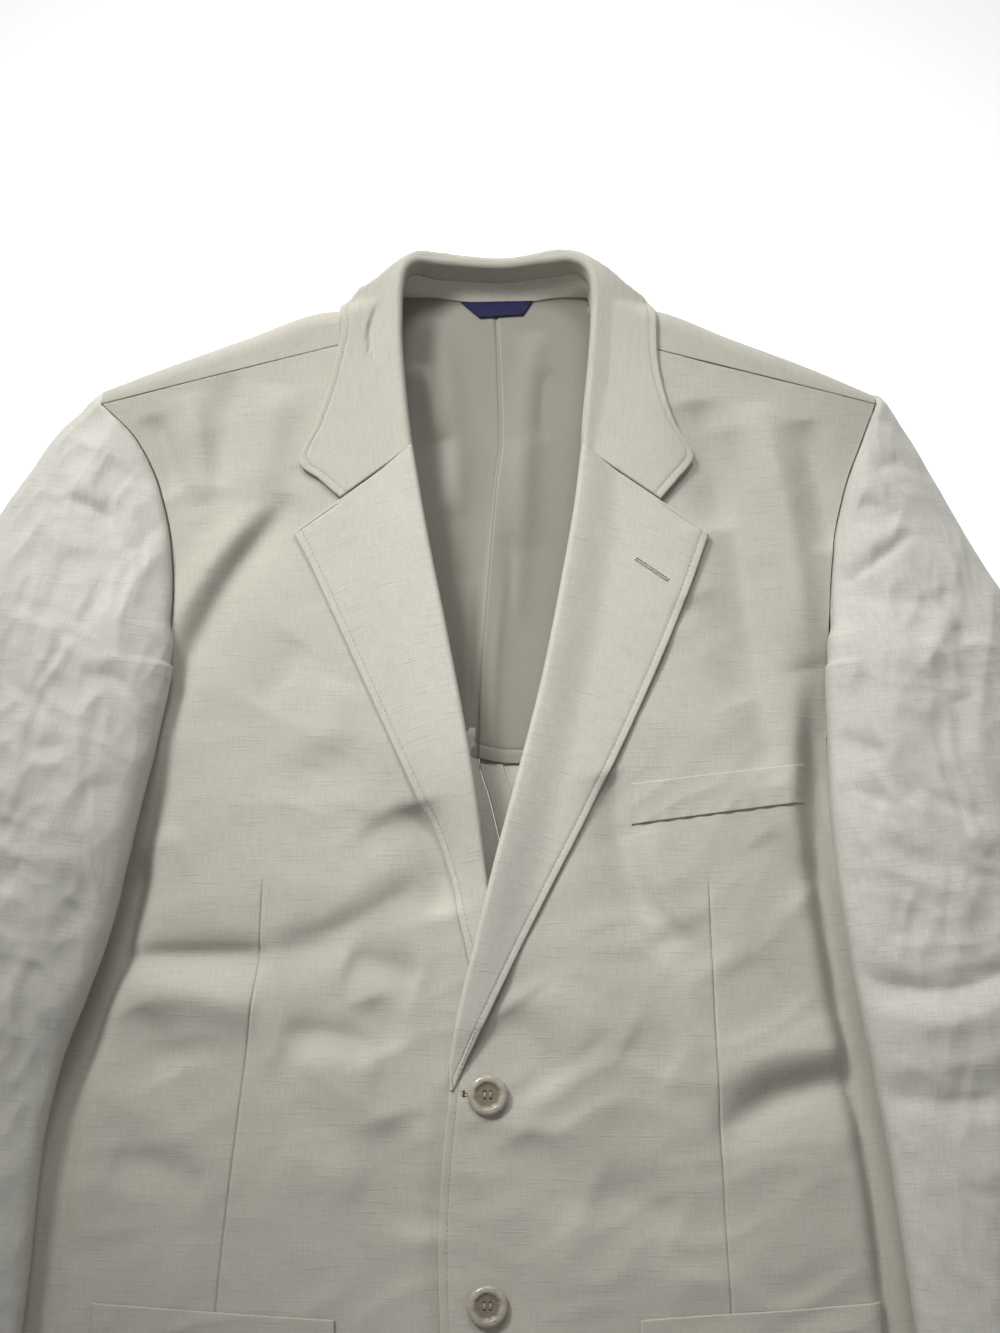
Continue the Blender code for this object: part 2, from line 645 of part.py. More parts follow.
def back_column(side, share):
    """One column of a back half, from the hem to the neck or over to the shoulder seam."""
    across = share * SHOULDER_TIP[0]
    wrapped = np.clip((across - NECK_ACROSS) / (WRAP_ACROSS - NECK_ACROSS), 0.0, 1.0)
    fold_y = float(shoulder_fold[side](max(across, NECK_ACROSS)))
    seam_end = float(seam_y(across)) + SEAM_GAP
    radius = min(SHOULDER_RADIUS, fold_y - seam_end)
    plate_end = NECK_Y if wrapped == 0.0 else fold_y - radius
    levels = np.append(BACK_LEVELS, np.linspace(BACK_LEVELS[-1], plate_end, 12)[1:])
    out = np.maximum(share * back_outer[side](levels), SEAM_GAP / 2.0)
    pull = centre_back(levels) * max(0.0, 1.0 - share / CENTRE_BACK_REACH)
    path = [(x, y, 0.0) for x, y in zip(side * out + pull, levels)]
    if wrapped > 0.0:
        middle = float(arch_top(side * across, plate_end)) / 2.0
        over = []
        for turn in np.linspace(0.0, math.pi, 19):
            y = plate_end + radius * math.sin(turn)
            over.append((side * across, y, middle - middle * math.cos(turn)))
        for y in np.linspace(plate_end, seam_end, 5)[1:]:
            over.append((side * across, y, float(arch_top(side * across, y))))
        path += list(resample(over, np.linspace(0.0, wrapped, 20)[1:]))
    plate = len(BACK_LEVELS) - 1
    return np.vstack([path[:plate], resample(path[plate:], np.linspace(0.0, 1.0, BACK_TOP_ROWS))])


def build_back(side):
    """One half of the back, flat on the table and wrapped over the shoulder."""
    grid = np.stack([back_column(side, share) for share in BACK_COLUMNS], axis=1)
    wall(f"back_{side_names[side]}", facing(grid, up=False), BACK_WALL, LINEN)


# ---- fronts --------------------------------------------------------------------------------

FRONT_ROWS = 29
FRONT_ACROSS = (0.0, 0.09, 0.18, 0.28, 0.38, 0.48, 0.58, 0.68, 0.77, 0.85, 0.92, 0.97, 1.0)


def front_boundaries(side, at):
    """Inner and outer plan points of a front's row."""
    inner = np.stack([side * front_inner[side](at), front_inner_y(at)], axis=-1)
    outer = np.stack([side * front_outer[side](at), front_outer_y(at)], axis=-1)
    return inner, outer


def build_front(side):
    """A front panel: an arch from its front edge and roll line out to the side and armhole."""
    top = left_front_top if side > 0 else right_front_top
    at = front_rows()
    inner, outer = front_boundaries(side, at)
    share = np.array(FRONT_ACROSS)[:, None]
    plan = inner[:, None] * (1.0 - share) + outer[:, None] * share
    level = top(plan[..., 0], plan[..., 1])
    grid = np.concatenate([plan, level[..., None]], axis=-1)
    lip = grid[:, -1].copy()
    lip[:, 2] -= EDGE_HEIGHT
    grid = np.concatenate([grid, lip[:, None]], axis=1)
    wall(f"front_{side_names[side]}", facing(grid), FRONT_WALL, LINEN, floor=SIDE_SEAM_Z)


def front_rows():
    """Rows of a front: even below the pit, then the armhole's own rows."""
    pit = FRONT_OUTER["at"][PIT_ROW]
    return np.append(np.linspace(0.0, pit, 18), np.linspace(pit, 1.0, FRONT_ROWS - 17)[1:])


# ---- lapels and collar ---------------------------------------------------------------------


def fold_section(roll_z, foot, surface, width, count, radius):
    """A folded-back section: up its inner side, over the roll, and out along a surface.

    Places are (out, z), out from the roll's inner face. foot is the inner side's lower edge.
    surface gives the height at a distance, and the distance to the outer wall, if any.
    """
    height_at, wall_out = surface
    rise_end = roll_z - radius
    start = [foot, (foot[0] / 2.0, (foot[1] + rise_end) / 2.0)]
    for turn in np.linspace(math.pi, math.pi / 2.0, 3)[:-1]:
        out = radius * (1.0 + math.cos(turn))
        start.append((out, rise_end + radius * math.sin(turn)))
    path = [(radius, roll_z)]
    limit = min(wall_out - radius, width + radius)
    for out in np.arange(radius + SECTION_STEP, limit, SECTION_STEP):
        path.append((out, height_at(out)))
    if wall_out < width + 2.0 * radius:
        shoulder = path[-1][1]
        corner = wall_out - path[-1][0]
        for turn in np.linspace(0.0, math.pi / 2.0, 5)[1:]:
            out = path[0][0] if corner <= 0.0 else wall_out - corner * (1.0 - math.sin(turn))
            path.append((out, shoulder - corner * (1.0 - math.cos(turn))))
        path.append((wall_out, WALL_FOOT))
        for turn in np.linspace(0.0, math.pi / 2.0, 4)[1:]:
            out = wall_out - WALL_FOOT * (1.0 - math.cos(turn))
            path.append((out, WALL_FOOT * (1.0 - math.sin(turn))))
        path.append((wall_out - width, 0.0))
    outward = cut_path(path, width, count)
    return np.array(start + list(outward))


def cut_path(path, width, count):
    """The first stretch of a flat path, evenly divided."""
    path = np.array(path)
    lengths = np.append(0.0, np.cumsum(np.linalg.norm(np.diff(path, axis=0), axis=1)))
    targets = np.linspace(0.0, min(width, lengths[-1]), count)
    return zip(np.interp(targets, lengths, path[:, 0]), np.interp(targets, lengths, path[:, 1]))


def place_section(section, origin, direction):
    """Turn (out, z) places into points along a direction from an origin."""
    return [(origin[0] + out * direction[0], origin[1] + out * direction[1], z) for out, z in section]


LAPEL_ROWS = 15
LAPEL_ACROSS = 7


def build_lapel(side):
    """The facing where it shows: round the roll and over the front to the lapel's edge."""
    table = LAPEL_LEFT if side > 0 else LAPEL_RIGHT
    top = left_front_top if side > 0 else right_front_top
    curves = {name: through(table["at"], values) for name, values in table.items()}
    lines = []
    for at in np.linspace(0.0, 1.0, LAPEL_ROWS):
        roll = np.array([curves["roll_x"](at), curves["roll_y"](at)])
        edge = np.array([curves["edge_x"](at), curves["edge_y"](at)])
        width = float(np.linalg.norm(edge - roll))
        direction = (edge - roll) / width
        rise = LAPEL_ROLL_RISE * float(fade(0.0, LAPEL_ROLL_FULL, at)) + LAPEL_ROLL_BASE
        lift = LAY_GAP + FACING_WALL

        def height_at(out, roll=roll, direction=direction, rise=rise, lift=lift):
            place = roll + out * direction
            return float(top(*place)) + lift + rise * (1.0 - fade(0.0, LAPEL_ROLL_REACH, out))

        roll_z = height_at(LAPEL_RADIUS)
        foot = (LAPEL_FOOT_OUT, float(top(*roll)) - FRONT_WALL)
        section = fold_section(
            roll_z, foot, (height_at, math.inf), width - LAPEL_RADIUS, LAPEL_ACROSS, LAPEL_RADIUS
        )
        lines.append(place_section(section, roll, direction))
    wall(f"facing_{side_names[side]}", facing(lines), FACING_WALL, LINEN)


COLLAR_SECTIONS = 41
FALL_POINTS = 9
# Distances inside the neck's edge between which the fall starts to rest on the shoulders.
FALL_REST = (0.012, 0.003)


def collar_rows():
    """The collar's rows, read smoothly along its table."""
    index = np.arange(len(COLLAR["x"]))
    curves = {name: through(index, values) for name, values in COLLAR.items()}
    return curves, np.linspace(0.0, index[-1], COLLAR_SECTIONS)


def collar_frame(curves, row):
    """Roll point and outward direction of one collar section."""
    roll = np.array([curves["x"](row), curves["y"](row)])
    angle = math.radians(float(curves["angle"](row)))
    return roll, np.array([math.cos(angle), math.sin(angle)])


def distance_to_outline(roll, direction):
    """How far outward the collar's outline is from the roll."""
    for out in np.arange(0.0, OUTLINE_REACH, OUTLINE_STEP):
        place = roll + out * direction
        if place[1] > collar_outline(place[0]):
            return out
    return math.inf


def collar_support(place):
    """Height that the fall's outer skin needs over the shoulders; none over the neck."""
    x, y = place
    edge = float(by_side(neck_edge, x, y))
    near = fade(edge - FALL_REST[0], edge - FALL_REST[1], abs(x))
    return near * float(shoulder_top(x, y, COLLAR_WALL + COLLAR_EASE))


def build_collar():
    """The collar: upper stand, fold and fall, lying on the fronts and round the neck."""
    curves, rows = collar_rows()
    lines = []
    for row in rows:
        roll, direction = collar_frame(curves, row)
        roll_z = float(curves["z"](row))
        foot = (float(curves["lean"](row)), roll_z - float(curves["drop"](row)) - ROLL_RADIUS)

        def height_at(out, roll=roll, direction=direction, roll_z=roll_z):
            falling = roll_z - FALL_SLOPE * (out - ROLL_RADIUS)
            return max(falling, collar_support(roll + out * direction))

        wall_out = distance_to_outline(roll, direction)
        width = float(curves["width"](row)) - ROLL_RADIUS
        surface = (height_at, wall_out)
        section = fold_section(roll_z, foot, surface, width, FALL_POINTS, ROLL_RADIUS)
        lines.append(place_section(section, roll, direction))
    wall("collar", facing(lines), COLLAR_WALL, LINEN)


def build_stand():
    """The lower stand, from the stitched line inside the collar down to the neck seam."""
    curves, _ = collar_rows()
    foot = {name: through(STAND_FOOT["row"], values) for name, values in STAND_FOOT.items()}
    lines = []
    for row in np.linspace(STAND_FOOT["row"][0], STAND_FOOT["row"][-1], 25):
        roll, direction = collar_frame(curves, row)
        top_out = float(curves["lean"](row)) - SEAM_GAP
        collar_foot = float(curves["z"](row)) - float(curves["drop"](row)) - ROLL_RADIUS
        top_z = collar_foot - 2 * SEAM_GAP - float(foot["sink"](row))
        out = np.linspace(top_out, float(foot["out"](row)), 3)
        level = np.linspace(top_z, float(foot["z"](row)), 3)
        section = list(zip(out, level))
        lines.append(place_section(section[::-1], roll, direction))
    wall("collar_stand", facing(lines), STAND_WALL, LINEN)


# ---- sleeves -------------------------------------------------------------------------------

SLEEVE_ROWS = 15
SLEEVE_ACROSS = 12
UNDER_ACROSS = 8
FOLD_START_Y = 0.152
HEAD_OVER = 0.001
# Share of the head's length over which its seam turns into a free fold.
HEAD_FREE = (0.78, 0.99)
# Row widths over which the columns go from even to closer at both folds.
ROUND_WIDTHS = (0.015, 0.080)
# Shape of the arch across a sleeve, and how it keeps its inner height.
SLEEVE_ROUND = 0.425
SLEEVE_HOLD = 2.2
SLEEVE_DROP = 0.6


def head_rows(side):
    """Rows of the sleeve head: inner points on the armhole seam, outer points, and puff."""
    name = side_names[side]
    at = front_rows()
    first = int(np.argmin(np.abs(front_outer_y(at) - FOLD_START_Y)))
    seam = np.stack([side * (front_outer[side](at) + SEAM_GAP), front_outer_y(at)], axis=-1)
    over_y = float(shoulder_fold[side](SHOULDER_TIP[0])) - HEAD_OVER
    over = (side * (SHOULDER_TIP[0] + SEAM_GAP), over_y)
    inner = np.vstack([[over], seam[first:][::-1]])
    travel = np.append(0.0, np.cumsum(np.linalg.norm(np.diff(inner, axis=0), axis=1)))
    at = travel / travel[-1]
    outer = [through(HEAD_OUTER["at"], HEAD_OUTER[f"{name}_{axis}"])(at) for axis in "xy"]
    return inner, np.stack(outer, axis=-1), through(HEAD_OUTER["at"], HEAD_OUTER["puff"])(at), at


def sleeve_rows(side):
    """All rows of a sleeve, shoulder to cuff: inner and outer points, puff, and how far the
    inner edge is a free fold that lies on the front."""
    inner, outer, puff, travel = head_rows(side)
    table = SLEEVE_LEFT if side > 0 else SLEEVE_RIGHT
    at = np.linspace(0.0, 1.0, SLEEVE_ROWS + 1)[1:]
    below = {name: through(table["at"], values)(at) for name, values in table.items()}
    inner = np.vstack([inner, np.stack([below["inner_x"], below["inner_y"]], axis=-1)])
    outer = np.vstack([outer, np.stack([below["outer_x"], below["outer_y"]], axis=-1)])
    free = np.append(fade(*HEAD_FREE, travel), np.ones(len(at)))
    return inner, outer, np.append(puff, below["puff"]), free


def build_sleeve_top(side):
    """The top sleeve: an arch from the armhole seam or inner fold to the outer fold."""
    inner, outer, puff, free = sleeve_rows(side)
    even = np.linspace(0.0, 1.0, SLEEVE_ACROSS)
    wide = fade(*ROUND_WIDTHS, np.linalg.norm(outer - inner, axis=1))[:, None]
    share = even + ((1.0 - np.cos(math.pi * even)) / 2.0 - even) * wide
    plan = inner[:, None] * (1.0 - share[..., None]) + outer[:, None] * share[..., None]
    rest = SLEEVE_WALL + SEAM_GAP + EDGE_HEIGHT
    seam_z = shoulder_top(inner[:, 0], inner[:, 1])
    fold_z = np.maximum(flank_top(*inner.T), arch_cover(*inner.T)) + rest
    inner_z = seam_z * (1.0 - free) + fold_z * free
    outer_z = flank_top(*outer.T) + rest
    keep = (1.0 - share**SLEEVE_HOLD) ** SLEEVE_DROP
    held = outer_z[:, None] + (inner_z - outer_z)[:, None] * keep
    arch = (4.0 * share * (1.0 - share)) ** SLEEVE_ROUND
    creases = folds(SLEEVE_FOLDS, plan[..., 0], plan[..., 1]) * arch
    level = held + puff[:, None] * arch + creases
    grid = np.concatenate([plan, level[..., None]], axis=-1)
    lips = []
    for edge in (grid[:, 0], grid[:, -1]):
        lip = edge.copy()
        lip[:, 2] -= EDGE_HEIGHT
        lips.append(lip[:, None])
    grid = np.concatenate([lips[0], grid, lips[1]], axis=1)
    wall(f"sleeve_top_{side_names[side]}", facing(grid), SLEEVE_WALL, LINEN_COOL)


def build_sleeve_under(side):
    """The under sleeve: flat on the table, then up over the flank below the pit."""
    name = side_names[side]
    inner, outer, _, _ = sleeve_rows(side)
    head = len(inner) - SLEEVE_ROWS
    at = np.linspace(0.0, 1.0, head + 2)
    edge = [through(UNDER_INNER["at"], UNDER_INNER[f"{name}_{axis}"])(at) for axis in "xy"]
    inner[: head + 2] = np.stack(edge, axis=-1)
    share = np.linspace(0.0, 1.0, UNDER_ACROSS)[:, None]
    plan = inner[:, None] * (1.0 - share) + outer[:, None] * share
    level = flank_top(plan[..., 0], plan[..., 1])
    grid = np.concatenate([plan, level[..., None]], axis=-1)
    wall(f"sleeve_under_{name}", facing(grid, up=False), SLEEVE_WALL, LINEN_COOL)


# ---- lining, label, pockets and buttons ----------------------------------------------------

LINING_HALF_WIDTH = 0.200
LINING_NECK_Y = 0.392
LINING_BELOW_FOLD = 0.033
LINING_CORNER = (0.0570, 0.0625)
PLEAT_HEIGHT = 0.0022
PLEAT_WIDTH = 0.007
PLEAT_FLAT_Y = (0.388, 0.360)
PLEAT_PULL = 0.03


def lining_top_edge(x):
    """Upper edge of the lining: the neck seam, then below the shoulder's fold."""
    beside = by_side(shoulder_fold, x, np.maximum(np.abs(x), NECK_ACROSS)) - LINING_BELOW_FOLD
    return LINING_NECK_Y + (beside - LINING_NECK_Y) * fade(*LINING_CORNER, np.abs(x))


def lining_top(x, y):
    """Top of the lining: flat on the back, with the centre pleat's soft ridge."""
    pleat = np.exp(-(((x - pleat_x(y)) / PLEAT_WIDTH) ** 2))
    return BACK_WALL + SEAM_GAP + LINING_WALL + PLEAT_HEIGHT * pleat * fade(*PLEAT_FLAT_Y, y)


def build_lining():
    """The half lining of the back, from the neck seam to its hem."""
    x = LINING_HALF_WIDTH * np.array(
        (-1.0, -0.7, -0.45, -0.315, -0.285, -0.15, -0.07, -0.035, 0.0)
        + (0.035, 0.07, 0.15, 0.285, 0.315, 0.45, 0.7, 1.0)
    )
    share = np.linspace(0.0, 1.0, 11)[:, None]
    low = lining_hem(x)[None, :]
    high = lining_top_edge(x)[None, :]
    y = low + (high - low) * share
    x = np.broadcast_to(x, y.shape) + pleat_x(y) * np.exp(-((x / PLEAT_PULL) ** 2))
    grid = np.stack([x, y, lining_top(x, y)], axis=-1)
    wall("lining", facing(grid), LINING_WALL, SATEEN, floor=BACK_WALL + SEAM_GAP)


def patch(name, corners, counts, top, thickness, colour):
    """A flat piece lying on a surface, between four corners."""
    corners = np.array(corners)
    along = np.linspace(0.0, 1.0, counts[0])[None, :, None]
    up = np.linspace(0.0, 1.0, counts[1])[:, None, None]
    low = corners[0] * (1.0 - along) + corners[1] * along
    high = corners[3] * (1.0 - along) + corners[2] * along
    plan = low * (1.0 - up) + high * up
    level = top(plan[..., 0], plan[..., 1]) + thickness
    grid = np.concatenate([plan, level[..., None]], axis=-1)
    wall(name, facing(grid), thickness, colour)


def build_trim():
    """The chest welt, the hip pocket flaps and the bare label."""
    patch(
        "chest_welt", WELT_CORNERS, (10, 4),
        lambda x, y: left_front_top(x, y) + LAY_GAP, WELT_WALL, LINEN,
    )
    tops = {-1: right_front_top, 1: left_front_top}
    for side, name in side_names.items():
        corners = [(side * x, y) for x, y in FLAP_CORNERS]
        patch(
            f"pocket_flap_{name}", corners, (12, 5),
            lambda x, y, top=tops[side]: top(x, y) + LAY_GAP, WELT_WALL, LINEN,
        )
    patch(
        "label", LABEL_CORNERS, (6, 3),
        lambda x, y: lining_top(x, y) + 2 * SEAM_GAP, LABEL_WALL, NAVY,
    )


BUTTON_SEGMENTS = 32
# The button's turned section: distance from its axis and height.
BUTTON_SECTION = columns(
    "radius z",
    (0.0000, 0.0024),
    (0.0062, 0.0024),
    (0.0075, 0.0034),
    (0.0096, 0.0036),
    (0.0112, 0.0028),
    (0.0115, 0.0016),
    (0.0095, 0.0004),
    (0.0000, 0.0000),
)
THREAD_HOLE_RADIUS = 0.0010
THREAD_HOLE_OFFSET = 0.0017
PIN_LENGTH = 0.02


def button_blank():
    """The turned disc of a button, resting on z = 0."""
    shape = bmesh.new()
    profile = [
        shape.verts.new((radius, 0.0, z)) for radius, z in zip(*BUTTON_SECTION.values())
    ]
    edges = [shape.edges.new(pair) for pair in zip(profile, profile[1:])]
    bmesh.ops.spin(
        shape, geom=profile + edges, axis=(0.0, 0.0, 1.0), cent=(0.0, 0.0, 0.0),
        steps=BUTTON_SEGMENTS, angle=2.0 * math.pi, use_merge=True,
    )
    bmesh.ops.remove_doubles(shape, verts=shape.verts, dist=1e-6)
    bmesh.ops.recalc_face_normals(shape, faces=shape.faces)
    return shape


def thread_holes():
    """Four upright pins that cut the button's holes."""
    shape = bmesh.new()
    for turn in range(4):
        angle = math.pi / 4.0 + turn * math.pi / 2.0
        made = bmesh.ops.create_cone(
            shape, cap_ends=True, segments=10, radius1=THREAD_HOLE_RADIUS,
            radius2=THREAD_HOLE_RADIUS, depth=PIN_LENGTH,
        )
        reach = THREAD_HOLE_OFFSET * math.sqrt(2.0)
        offset = (reach * math.cos(angle), reach * math.sin(angle), 0.0)
        bmesh.ops.translate(shape, verts=made["verts"], vec=offset)
    return shape


def build_buttons():
    """The two front buttons, lying on the left front."""
    cutter = add_object("thread_holes", thread_holes(), HORN)
    cutter.hide_render = True
    cutter.display_type = "WIRE"
    for name, (x, y) in BUTTON_CENTRES.items():
        button = add_object(name, button_blank(), HORN, roughness=0.35)
        ring = [
            (x + BUTTON_RADIUS * math.cos(turn), y + BUTTON_RADIUS * math.sin(turn))
            for turn in np.linspace(0.0, 2.0 * math.pi, 12)
        ]
        seat = max(float(left_front_top(*place)) for place in ring + [(x, y)])
        button.location = (x, y, seat + SEAM_GAP)
        holes = button.modifiers.new("holes", "BOOLEAN")
        holes.operation = "DIFFERENCE"
        holes.solver = "EXACT"
        pins = cutter.copy()
        pins.name = f"{name}_pins"
        pins.location = button.location
        bpy.context.collection.objects.link(pins)
        holes.object = pins
    bpy.data.objects.remove(cutter)


def build():
    """Build the whole blazer."""
    for item in list(bpy.data.objects):
        bpy.data.objects.remove(item)
    for side in side_names:
        build_back(side)
        build_front(side)
        build_lapel(side)
        build_sleeve_top(side)
        build_sleeve_under(side)
    build_collar()
    build_stand()
    build_lining()
    build_trim()
    build_buttons()


build()
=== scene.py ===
"""The looks of a single-breasted linen blazer, buttoned and laid flat on its back.

Metres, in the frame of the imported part: +X the wearer's left, +Y towards the collar, +Z up. Each
cloth piece is a thin closed shell on the form of its solid, with finer creases, turned edges,
seams and stitches.
"""

import math

import bpy
import numpy as np
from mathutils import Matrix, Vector


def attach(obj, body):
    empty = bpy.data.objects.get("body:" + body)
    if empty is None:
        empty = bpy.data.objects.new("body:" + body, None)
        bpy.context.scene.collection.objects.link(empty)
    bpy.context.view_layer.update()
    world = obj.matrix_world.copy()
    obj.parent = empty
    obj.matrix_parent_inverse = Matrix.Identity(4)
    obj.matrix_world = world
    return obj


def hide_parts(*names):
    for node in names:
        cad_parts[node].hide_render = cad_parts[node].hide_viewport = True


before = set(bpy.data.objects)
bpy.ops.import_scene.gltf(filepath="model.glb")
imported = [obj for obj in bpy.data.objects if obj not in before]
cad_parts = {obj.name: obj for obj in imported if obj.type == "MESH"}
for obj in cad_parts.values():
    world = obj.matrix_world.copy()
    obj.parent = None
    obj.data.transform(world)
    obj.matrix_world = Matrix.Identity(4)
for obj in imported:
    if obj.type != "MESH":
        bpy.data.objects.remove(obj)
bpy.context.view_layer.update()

# Cloth walls and the clearances between pieces.
SEAM_GAP = 0.0003
LAY_GAP = 0.0009
BACK_WALL = 0.0015
LINING_WALL = 0.0010
FRONT_WALL = 0.0025
FACING_WALL = 0.0022
COLLAR_WALL = 0.0025
STAND_WALL = 0.0015
COLLAR_EASE = 0.0016
SLEEVE_WALL = 0.0015
WELT_WALL = 0.0012
LABEL_WALL = 0.0008

# Main levels along the garment.
HEM_Y = -0.396
PIT_Y = 0.070
NECK_Y = 0.396
SHOULDER_NECK = (0.079, 0.355)
SHOULDER_TIP = (0.2375, 0.315)

# Height of the turned edge where a dome comes down to what it lies on.
EDGE_HEIGHT = 0.003
SIDE_SEAM_Z = BACK_WALL + SEAM_GAP

# The left front's closure lies over the right front.
OVERLAP_RAISE = 0.0029
OVERLAP_FADE_X = (0.100, 0.045)
OVERLAP_FADE_Y = (0.140, 0.060)
# The right front sinks under the left lapel.
LAPEL_DIP = 0.0075
LAPEL_DIP_Y = -0.015
LAPEL_DIP_LENGTH = 0.085
LAPEL_DIP_FADE_X = (-0.075, -0.025)

# Rounded shoulder edge of the back, the fold of a lapel and of the collar.
SHOULDER_RADIUS = 0.014
ROLL_RADIUS = 0.004
LAPEL_RADIUS = 0.003
FALL_SLOPE = 0.28
WALL_FOOT = 0.003
# Spacing of the points along a folded section, and how finely the outline is searched.
SECTION_STEP = 0.002
OUTLINE_STEP = 0.0005
OUTLINE_REACH = 0.080

# Reach of the high points that a sleeve lies on, and how the sleeve comes off the flank.
LAY_REACH = 0.011
FLANK_EASE = (0.036, 0.014)
FLANK_END_Y = (PIT_Y + 0.068, PIT_Y + 0.048)
# An end row's wall is not squared up where the cloth leans more than this.
STEEP_TILT = 0.6

BUTTON_RADIUS = 0.0115
BUTTON_CENTRES = {"button_upper": (0.0, -0.097), "button_lower": (0.0, -0.212)}


def columns(names, rows):
    """A table as named columns, from its text with one row a line."""
    table = np.array([row.split() for row in rows.strip().splitlines()], float)
    return dict(zip(names.split(), table.T))


# Outer boundary of each front, hem to shoulder tip: side seam to the pit, then the armhole.
# Distances are measured outward from the centre line on that side.
FRONT_OUTER = columns("at y right left", """
0 -0.396 0.284 0.276
0.13 -0.3 0.282 0.272
0.27 -0.19 0.272 0.262
0.4 -0.085 0.264 0.252
0.5 0 0.266 0.256
0.58 0.07 0.274 0.27
0.62 0.088 0.259 0.256
0.65 0.103 0.24 0.24
0.68 0.117 0.22 0.225
0.72 0.133 0.201 0.2115
0.76 0.152 0.1915 0.204
0.81 0.19 0.189 0.2055
0.86 0.225 0.1915 0.209
0.91 0.26 0.1995 0.2165
0.96 0.292 0.215 0.2285
1 0.315 0.2375 0.2375
""")
PIT_ROW = 5

# Inner boundary of each front: cut-away corner, closure edge, lapel roll, neckline.
FRONT_INNER = columns("at y right left", """
0 -0.4 0.08 0.075
0.05 -0.384 0.04 0.036
0.1 -0.352 0.01 0.008
0.16 -0.305 -0.014 -0.014
0.22 -0.25 -0.026 -0.025
0.3 -0.18 -0.029 -0.028
0.4 -0.092 -0.028 -0.0215
0.48 -0.03 -0.0075 -0.0078
0.54 0.026 0.005 0.0058
0.6 0.075 0.0112 0.0186
0.67 0.13 0.0208 0.033
0.74 0.18 0.0305 0.0438
0.81 0.228 0.0402 0.0526
0.88 0.28 0.0497 0.0603
0.94 0.32 0.062 0.07
1 0.355 0.079 0.079
""")

# The front darts, hem to shoulder: the columns follow them, and the seam runs between its ends.
DART = columns("y right left", """
-0.4 0.164 0.146
-0.212 0.152 0.137
-0.136 0.145 0.134
-0.068 0.138 0.1318
-0.021 0.133 0.1304
0.029 0.131 0.129
0.15 0.122 0.126
0.25 0.124 0.132
0.355 0.142 0.15
""")
# Edge of the neck opening above the fronts' inner boundary.
NECK_END = columns("y right left", """
0.388 0.068 0.068
0.4 0.062 0.062
""")

# Armhole edge of the back, from the pit up to the shoulder tip.
BACK_ARMHOLE = columns("y right left", """
0.07 0.274 0.27
0.095 0.258 0.256
0.125 0.244 0.245
0.16 0.232 0.234
0.21 0.223 0.226
0.26 0.227 0.229
0.315 0.2375 0.2375
""")

# The centre-back seam, hem to neck, and how far out it pulls the panels' columns.
CENTRE_BACK = columns("y x", f"""
{HEM_Y} 0.004
-0.2 0.006
0 0.0095
0.032 0.009
0.074 0.001
0.1 -0.006
0.2 -0.003
{NECK_Y} 0.004
""")
CENTRE_BACK_REACH = 0.2

# Where the back folds over the shoulder, outward from the neck.
SHOULDER_FOLD = columns("across right left", """
0.055 0.395 0.396
0.08 0.3845 0.388
0.093 0.379 0.381
0.103 0.378 0.3795
0.15 0.361 0.361
0.205 0.3405 0.3395
0.2375 0.3275 0.3245
""")
NECK_ACROSS = 0.062
WRAP_ACROSS = 0.079

# How high the fronts arch above their side seams, hem to collar.
CROWN = columns("y height", """
-0.4 0.009
-0.3 0.012
-0.2 0.016
-0.09 0.021
0 0.023
0.1 0.025
0.2 0.026
0.3 0.027
0.42 0.028
""")
# Above the pit the arch is wider than the cut cloth, because the shoulders hold it up.
ARCH_ABOVE_PIT = columns("y right left", """
0.15 0.302 0.302
0.22 0.34 0.34
0.32 0.43 0.43
""")
ARCH_ROUND = 2.6
ARCH_FLAT = 0.62
# Share of the arch's height at which its folds are full.
FOLDS_FULL = 0.35

# Largest folds of the fronts: a soft ridge or trough along each line.
FRONT_FOLDS = columns("x0 y0 x1 y1 height width", """
-0.132 0.232 -0.165 0.168 -0.0035 0.016
-0.152 0.228 -0.182 0.16 0.003 0.014
-0.2 0.3 -0.184 0.252 -0.0025 0.012
-0.214 -0.021 -0.11 -0.019 -0.003 0.014
-0.214 -0.046 -0.12 -0.042 0.0028 0.016
-0.205 -0.082 -0.11 -0.068 -0.0022 0.016
0.172 0.29 0.168 0.165 -0.0028 0.015
0.2 0.25 0.196 0.19 0.0022 0.014
0.086 0.04 0.112 -0.015 -0.0032 0.017
0.165 -0.094 0.215 -0.1 -0.0035 0.014
0.12 -0.075 0.205 -0.078 0.0022 0.016
-0.19 -0.17 -0.12 -0.18 -0.002 0.018
0.13 -0.165 0.2 -0.16 -0.002 0.018
""")
# Largest folds of the sleeves.
SLEEVE_FOLDS = columns("x0 y0 x1 y1 height width", """
-0.256 0.254 -0.228 0.24 -0.003 0.01
-0.3 0.15 -0.318 0.05 -0.003 0.015
-0.345 0.12 -0.352 -0.01 0.0025 0.016
-0.27 0.06 -0.39 0.03 -0.003 0.013
-0.275 0.02 -0.395 -0.01 0.003 0.014
-0.28 -0.03 -0.4 -0.045 -0.0035 0.013
-0.3 -0.13 -0.31 -0.24 -0.0025 0.015
0.254 0.232 0.218 0.204 -0.0035 0.01
0.262 0.18 0.3 0.06 -0.0028 0.015
0.32 0.14 0.345 0.01 0.0026 0.016
0.232 -0.036 0.29 -0.026 -0.0045 0.011
0.24 -0.056 0.36 -0.04 0.003 0.014
0.235 -0.1 0.33 -0.096 -0.0035 0.012
0.33 -0.14 0.338 -0.24 -0.0025 0.015
""")

